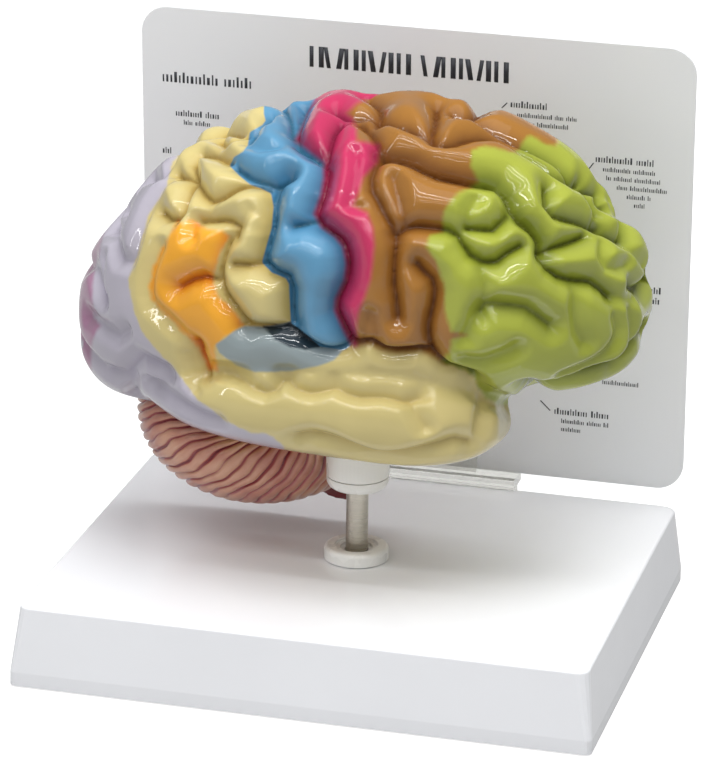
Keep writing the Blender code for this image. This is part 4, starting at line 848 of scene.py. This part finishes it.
def coated_card():
    """A pale grey printed card under a thin glossy film."""
    made = Material("coated_card")
    tone = made.mix(made.ramp(made.noise(16, 2), 0.3, 0.7), srgb(238, 239, 240), srgb(233, 235, 237))
    skin = made.bump(made.noise(40, 2), 0.03, 0.0006)
    return made.set(Base_Color=tone, Roughness=0.42, Coat_Weight=0.35, Coat_Roughness=0.18, Normal=skin)


def ink():
    """Near-black print, a little uneven."""
    made = Material("ink")
    tone = made.mix(made.noise(400, 3), srgb(34, 36, 42), srgb(58, 60, 66))
    return made.set(Base_Color=tone, Roughness=0.5)


def foam():
    """Off-white foam with open cells, for the tape."""
    made = Material("foam_tape")
    cells = made.node("ShaderNodeTexVoronoi", Vector=made.place, Scale=2500).outputs["Distance"]
    tone = made.mix(made.ramp(cells, 0.1, 0.6), srgb(205, 205, 198), srgb(226, 226, 220))
    return made.set(Base_Color=tone, Roughness=0.85, Normal=made.bump(cells, 0.4, 0.0002))


# The card's print: rows of plain strokes

# For each row: its left end, its foot, its height and the number of strokes in each group.
HEADING = (-31.5, 121.9, 6.3, (12, 10))
ROWS = [
    (-76.3, 113.5, 3.2, (14, 7)),
    (-72.4, 103.2, 1.9, (11, 6)),
    (-70.0, 100.6, 1.5, (5, 8)),
    (-76.6, 91.2, 1.9, (4,)),
    (28.6, 114.8, 2.0, (14,)),
    (30.6, 112.0, 1.4, (19, 5, 6)),
    (34.8, 109.4, 1.4, (2, 17)),
    (54.0, 100.4, 2.0, (14, 7)),
    (56.2, 97.7, 1.4, (15, 12)),
    (57.2, 95.1, 1.4, (3, 10, 14)),
    (60.4, 92.5, 1.4, (6, 20)),
    (63.4, 89.9, 1.4, (10, 2)),
    (65.6, 87.4, 1.4, (6,)),
    (69.0, 61.4, 2.0, (7,)),
    (69.6, 58.2, 2.0, (6,)),
    (57.7, 31.5, 1.4, (20,)),
    (43.5, 20.4, 2.0, (13, 7)),
    (45.6, 17.7, 1.4, (13, 8, 3)),
    (45.6, 15.1, 1.4, (11,)),
    (29.2, 13.7, 1.5, (2,)),
]
# The two ends of each thin line that points at the brain.
POINTERS = [((26.0, 114.3), (27.6, 116.0)), ((51.2, 96.8), (53.4, 100.0)), ((39.2, 24.2), (42.2, 21.3))]
POINTER_WIDTH = 0.32
PRINT_THICKNESS, PRINT_LIFT = 0.05, 0.01

# Each stroke takes its width, height, lean and the gap after it from these, as shares of the row's
# height, each a number of steps further on than the last stroke's.
BOLD = (0.24, 0.19), (1.0,), (0.0, 0.0, 0.16, 0.0, -0.16), (0.15, 0.25)
FINE = (0.2, 0.14, 0.26, 0.17), (1.0, 0.7, 0.7, 0.7, 1.0, 0.7, 0.7), (0.0,), (0.2,)
STEPS = 7, 5, 3, 1
GROUP_GAP = 0.45


def print_strokes():
    """All the strokes and pointers, as thin plates on the card's front."""
    bm = bmesh.new()

    def plate(corners):
        verts = [bm.verts.new((x, y, z)) for y in (-PRINT_THICKNESS, -PRINT_LIFT) for x, z in corners]
        for loop in ((0, 1, 2, 3), (7, 6, 5, 4), (0, 4, 5, 1), (1, 5, 6, 2), (2, 6, 7, 3), (3, 7, 4, 0)):
            bm.faces.new([verts[i] for i in loop])

    number = 0
    for (x, foot, height, groups), style in [(HEADING, BOLD), *((row, FINE) for row in ROWS)]:
        for strokes in groups:
            for _ in range(strokes):
                number += 1
                wide, tall, lean, gap = (
                    height * shares[number * step % len(shares)] for shares, step in zip(style, STEPS))
                plate([(x, foot), (x + wide, foot), (x + wide + lean, foot + tall), (x + lean, foot + tall)])
                x += wide + gap
            x += height * GROUP_GAP
    for (x0, z0), (x1, z1) in POINTERS:
        side = Vector((z0 - z1, x1 - x0)).normalized() * POINTER_WIDTH / 2
        plate([(x0 - side.x, z0 - side.y), (x1 - side.x, z1 - side.y), (x1 + side.x, z1 + side.y),
               (x0 + side.x, z0 + side.y)])
    bmesh.ops.recalc_face_normals(bm, faces=bm.faces)
    return mesh_from(bm)


# The object

whole_brain = add_piece("cerebrum", cerebrum(), paint(), "brain")
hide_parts("brain")
add_piece("cerebellum", cerebellum(), leaf_paint(), "brain")
add_piece("brain_stem", brain_stem(), stem_paint(), "brain")
add_piece("card_print", print_strokes(), ink(), "stand", (CARD_X, CARD_FRONT, CARD_FOOT), CARD_LEAN)

white = moulded("white_plastic", srgb(244, 243, 239))
finishes = {
    "base": moulded("base_plastic", srgb(238, 239, 242), 0.16, 0.02), "post_foot": white, "pivot_disc": white,
    "brain_socket": white, "post": turned_steel("satin_steel", srgb(196, 190, 178), 0.26),
    "post_screw": turned_steel("zinc_steel", srgb(190, 192, 196), 0.3), "card_clip": clear_plastic(),
    "clip_tape": foam(), "label_card": coated_card(),
}
finishes["post_washer"] = finishes["post_screw"]
# Radius of the rounded edges, and the turn from which an edge is rounded.
ROUNDED_FROM = radians(40)
EDGE_ROUNDING = {"base": 0.35, "card_clip": 0.25, "label_card": 0.2, "clip_tape": 0.15}
for name, finish in finishes.items():
    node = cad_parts[name]
    node.data.materials.clear()
    node.data.materials.append(finish)
    if name in EDGE_ROUNDING:
        bevel = node.modifiers.new("edges", "BEVEL")
        bevel.width, bevel.segments = EDGE_ROUNDING[name] * MM, 2
        bevel.limit_method, bevel.angle_limit = "ANGLE", ROUNDED_FROM
        bevel.harden_normals = False


# Studio: a pale floor and backdrop, wide soft light, and thin strips that gloss shows as lines

# For each lamp: its two sides in metres, its power, where it stands and whether gloss shows it.
LAMPS = {
    "overhead": ((1.3, 1.1), 22.5, (260, 30, 1700), False),
    "sheen": ((1.3, 1.1), 3.5, (0, -300, 1700), True),
    "front": ((1.6, 0.4), 1.5, (60, -1700, 230), False),
    "strip_1150": ((1.4, 0.036), 3.5, (0, -750, 1150), True),
    "strip_1300": ((1.4, 0.036), 3.5, (0, -480, 1300), True),
    "strip_850": ((1.4, 0.02), 1.2, (0, -1250, 850), True),
    "strip_1030": ((1.4, 0.02), 1.2, (0, -1080, 1030), True),
    "strip_left": ((0.03, 0.9), 1.3, (-750, -650, 650), True),
}
LIT_POINT = Vector((0, 0, 90))  # that every lamp faces
FLOOR_DROP, FLOOR_HALF = 0.0004, 4  # metres
FLOOR_TONES = 0.38, 0.40
FLOOR_GLOW = 0.72  # that brings the floor up to white for the camera
GLOW_IN_GLOSS = 0.17  # share of it that reflections show
WHITE, AMBIENT = (1, 1, 1, 1), (0.97, 0.98, 1.0, 1)
AMBIENT_STRENGTH = 0.31


def add_lamp(name, sides, power, at, shine):
    light = bpy.data.lights.new(name, "AREA")
    light.shape, light.energy = "RECTANGLE", power
    light.size, light.size_y = sides
    obj = linked(light, name)
    obj.location = Vector(at) * MM + SHIFT
    obj.rotation_euler = (Vector(at) - LIT_POINT).to_track_quat("Z", "Y").to_euler()
    obj.visible_glossy = shine


def floor_finish():
    """Grey to the lamps, so that it throws little light back, and white to the camera."""
    made = Material("floor")
    tone = made.mix(made.noise(3, 2), *((level, level, level, 1) for level in FLOOR_TONES))
    rays = made.node("ShaderNodeLightPath").outputs
    in_gloss = made.math("MULTIPLY", rays["Is Glossy Ray"], GLOW_IN_GLOSS)
    shown = made.math("MAXIMUM", rays["Is Camera Ray"],
                      made.math("MAXIMUM", in_gloss, rays["Is Transmission Ray"]))
    return made.set(Base_Color=tone, Roughness=0.9, Emission_Color=WHITE,
                    Emission_Strength=made.math("MULTIPLY", shown, FLOOR_GLOW))


def add_floor():
    bm = bmesh.new()
    bmesh.ops.create_grid(bm, x_segments=1, y_segments=1, size=FLOOR_HALF)
    floor = linked(mesh_from(bm), "floor")
    floor.location.z = -FLOOR_DROP
    floor.data.materials.append(floor_finish())


def add_world():
    """A dim even light, and plain white where the camera or a ray through glass meets it."""
    made = Nodes(bpy.data.worlds.new("studio"))
    rays = made.node("ShaderNodeLightPath").outputs
    shown = made.math("MAXIMUM", rays["Is Camera Ray"], rays["Is Transmission Ray"])
    light = made.node("ShaderNodeBackground", Color=AMBIENT, Strength=AMBIENT_STRENGTH).outputs[0]
    backdrop = made.wire(made.tree.nodes["Background"], Color=WHITE, Strength=1.0).outputs[0]
    choice = made.node("ShaderNodeMixShader", None, shown, light, backdrop).outputs[0]
    made.wire(made.tree.nodes["World Output"], Surface=choice)
    bpy.context.scene.world = made.owner


def add_camera():
    """The photograph's view, from the eye that the folds are drawn from."""
    right, up = view_axes()
    camera = linked(bpy.data.cameras.new("camera"), "camera")
    camera.data.sensor_width, camera.data.lens = 36.0, LENS
    camera.data.clip_start, camera.data.clip_end = 0.1, 20.0
    turn = Matrix((right, up, right.cross(up))).transposed().to_4x4()
    camera.matrix_world = Matrix.Translation(VIEW_EYE * MM + SHIFT) @ turn
    bpy.context.scene.camera = camera


for name, settings in LAMPS.items():
    add_lamp(name, *settings)
add_floor()
add_world()
add_camera()
bpy.context.scene.view_settings.view_transform = "Standard"
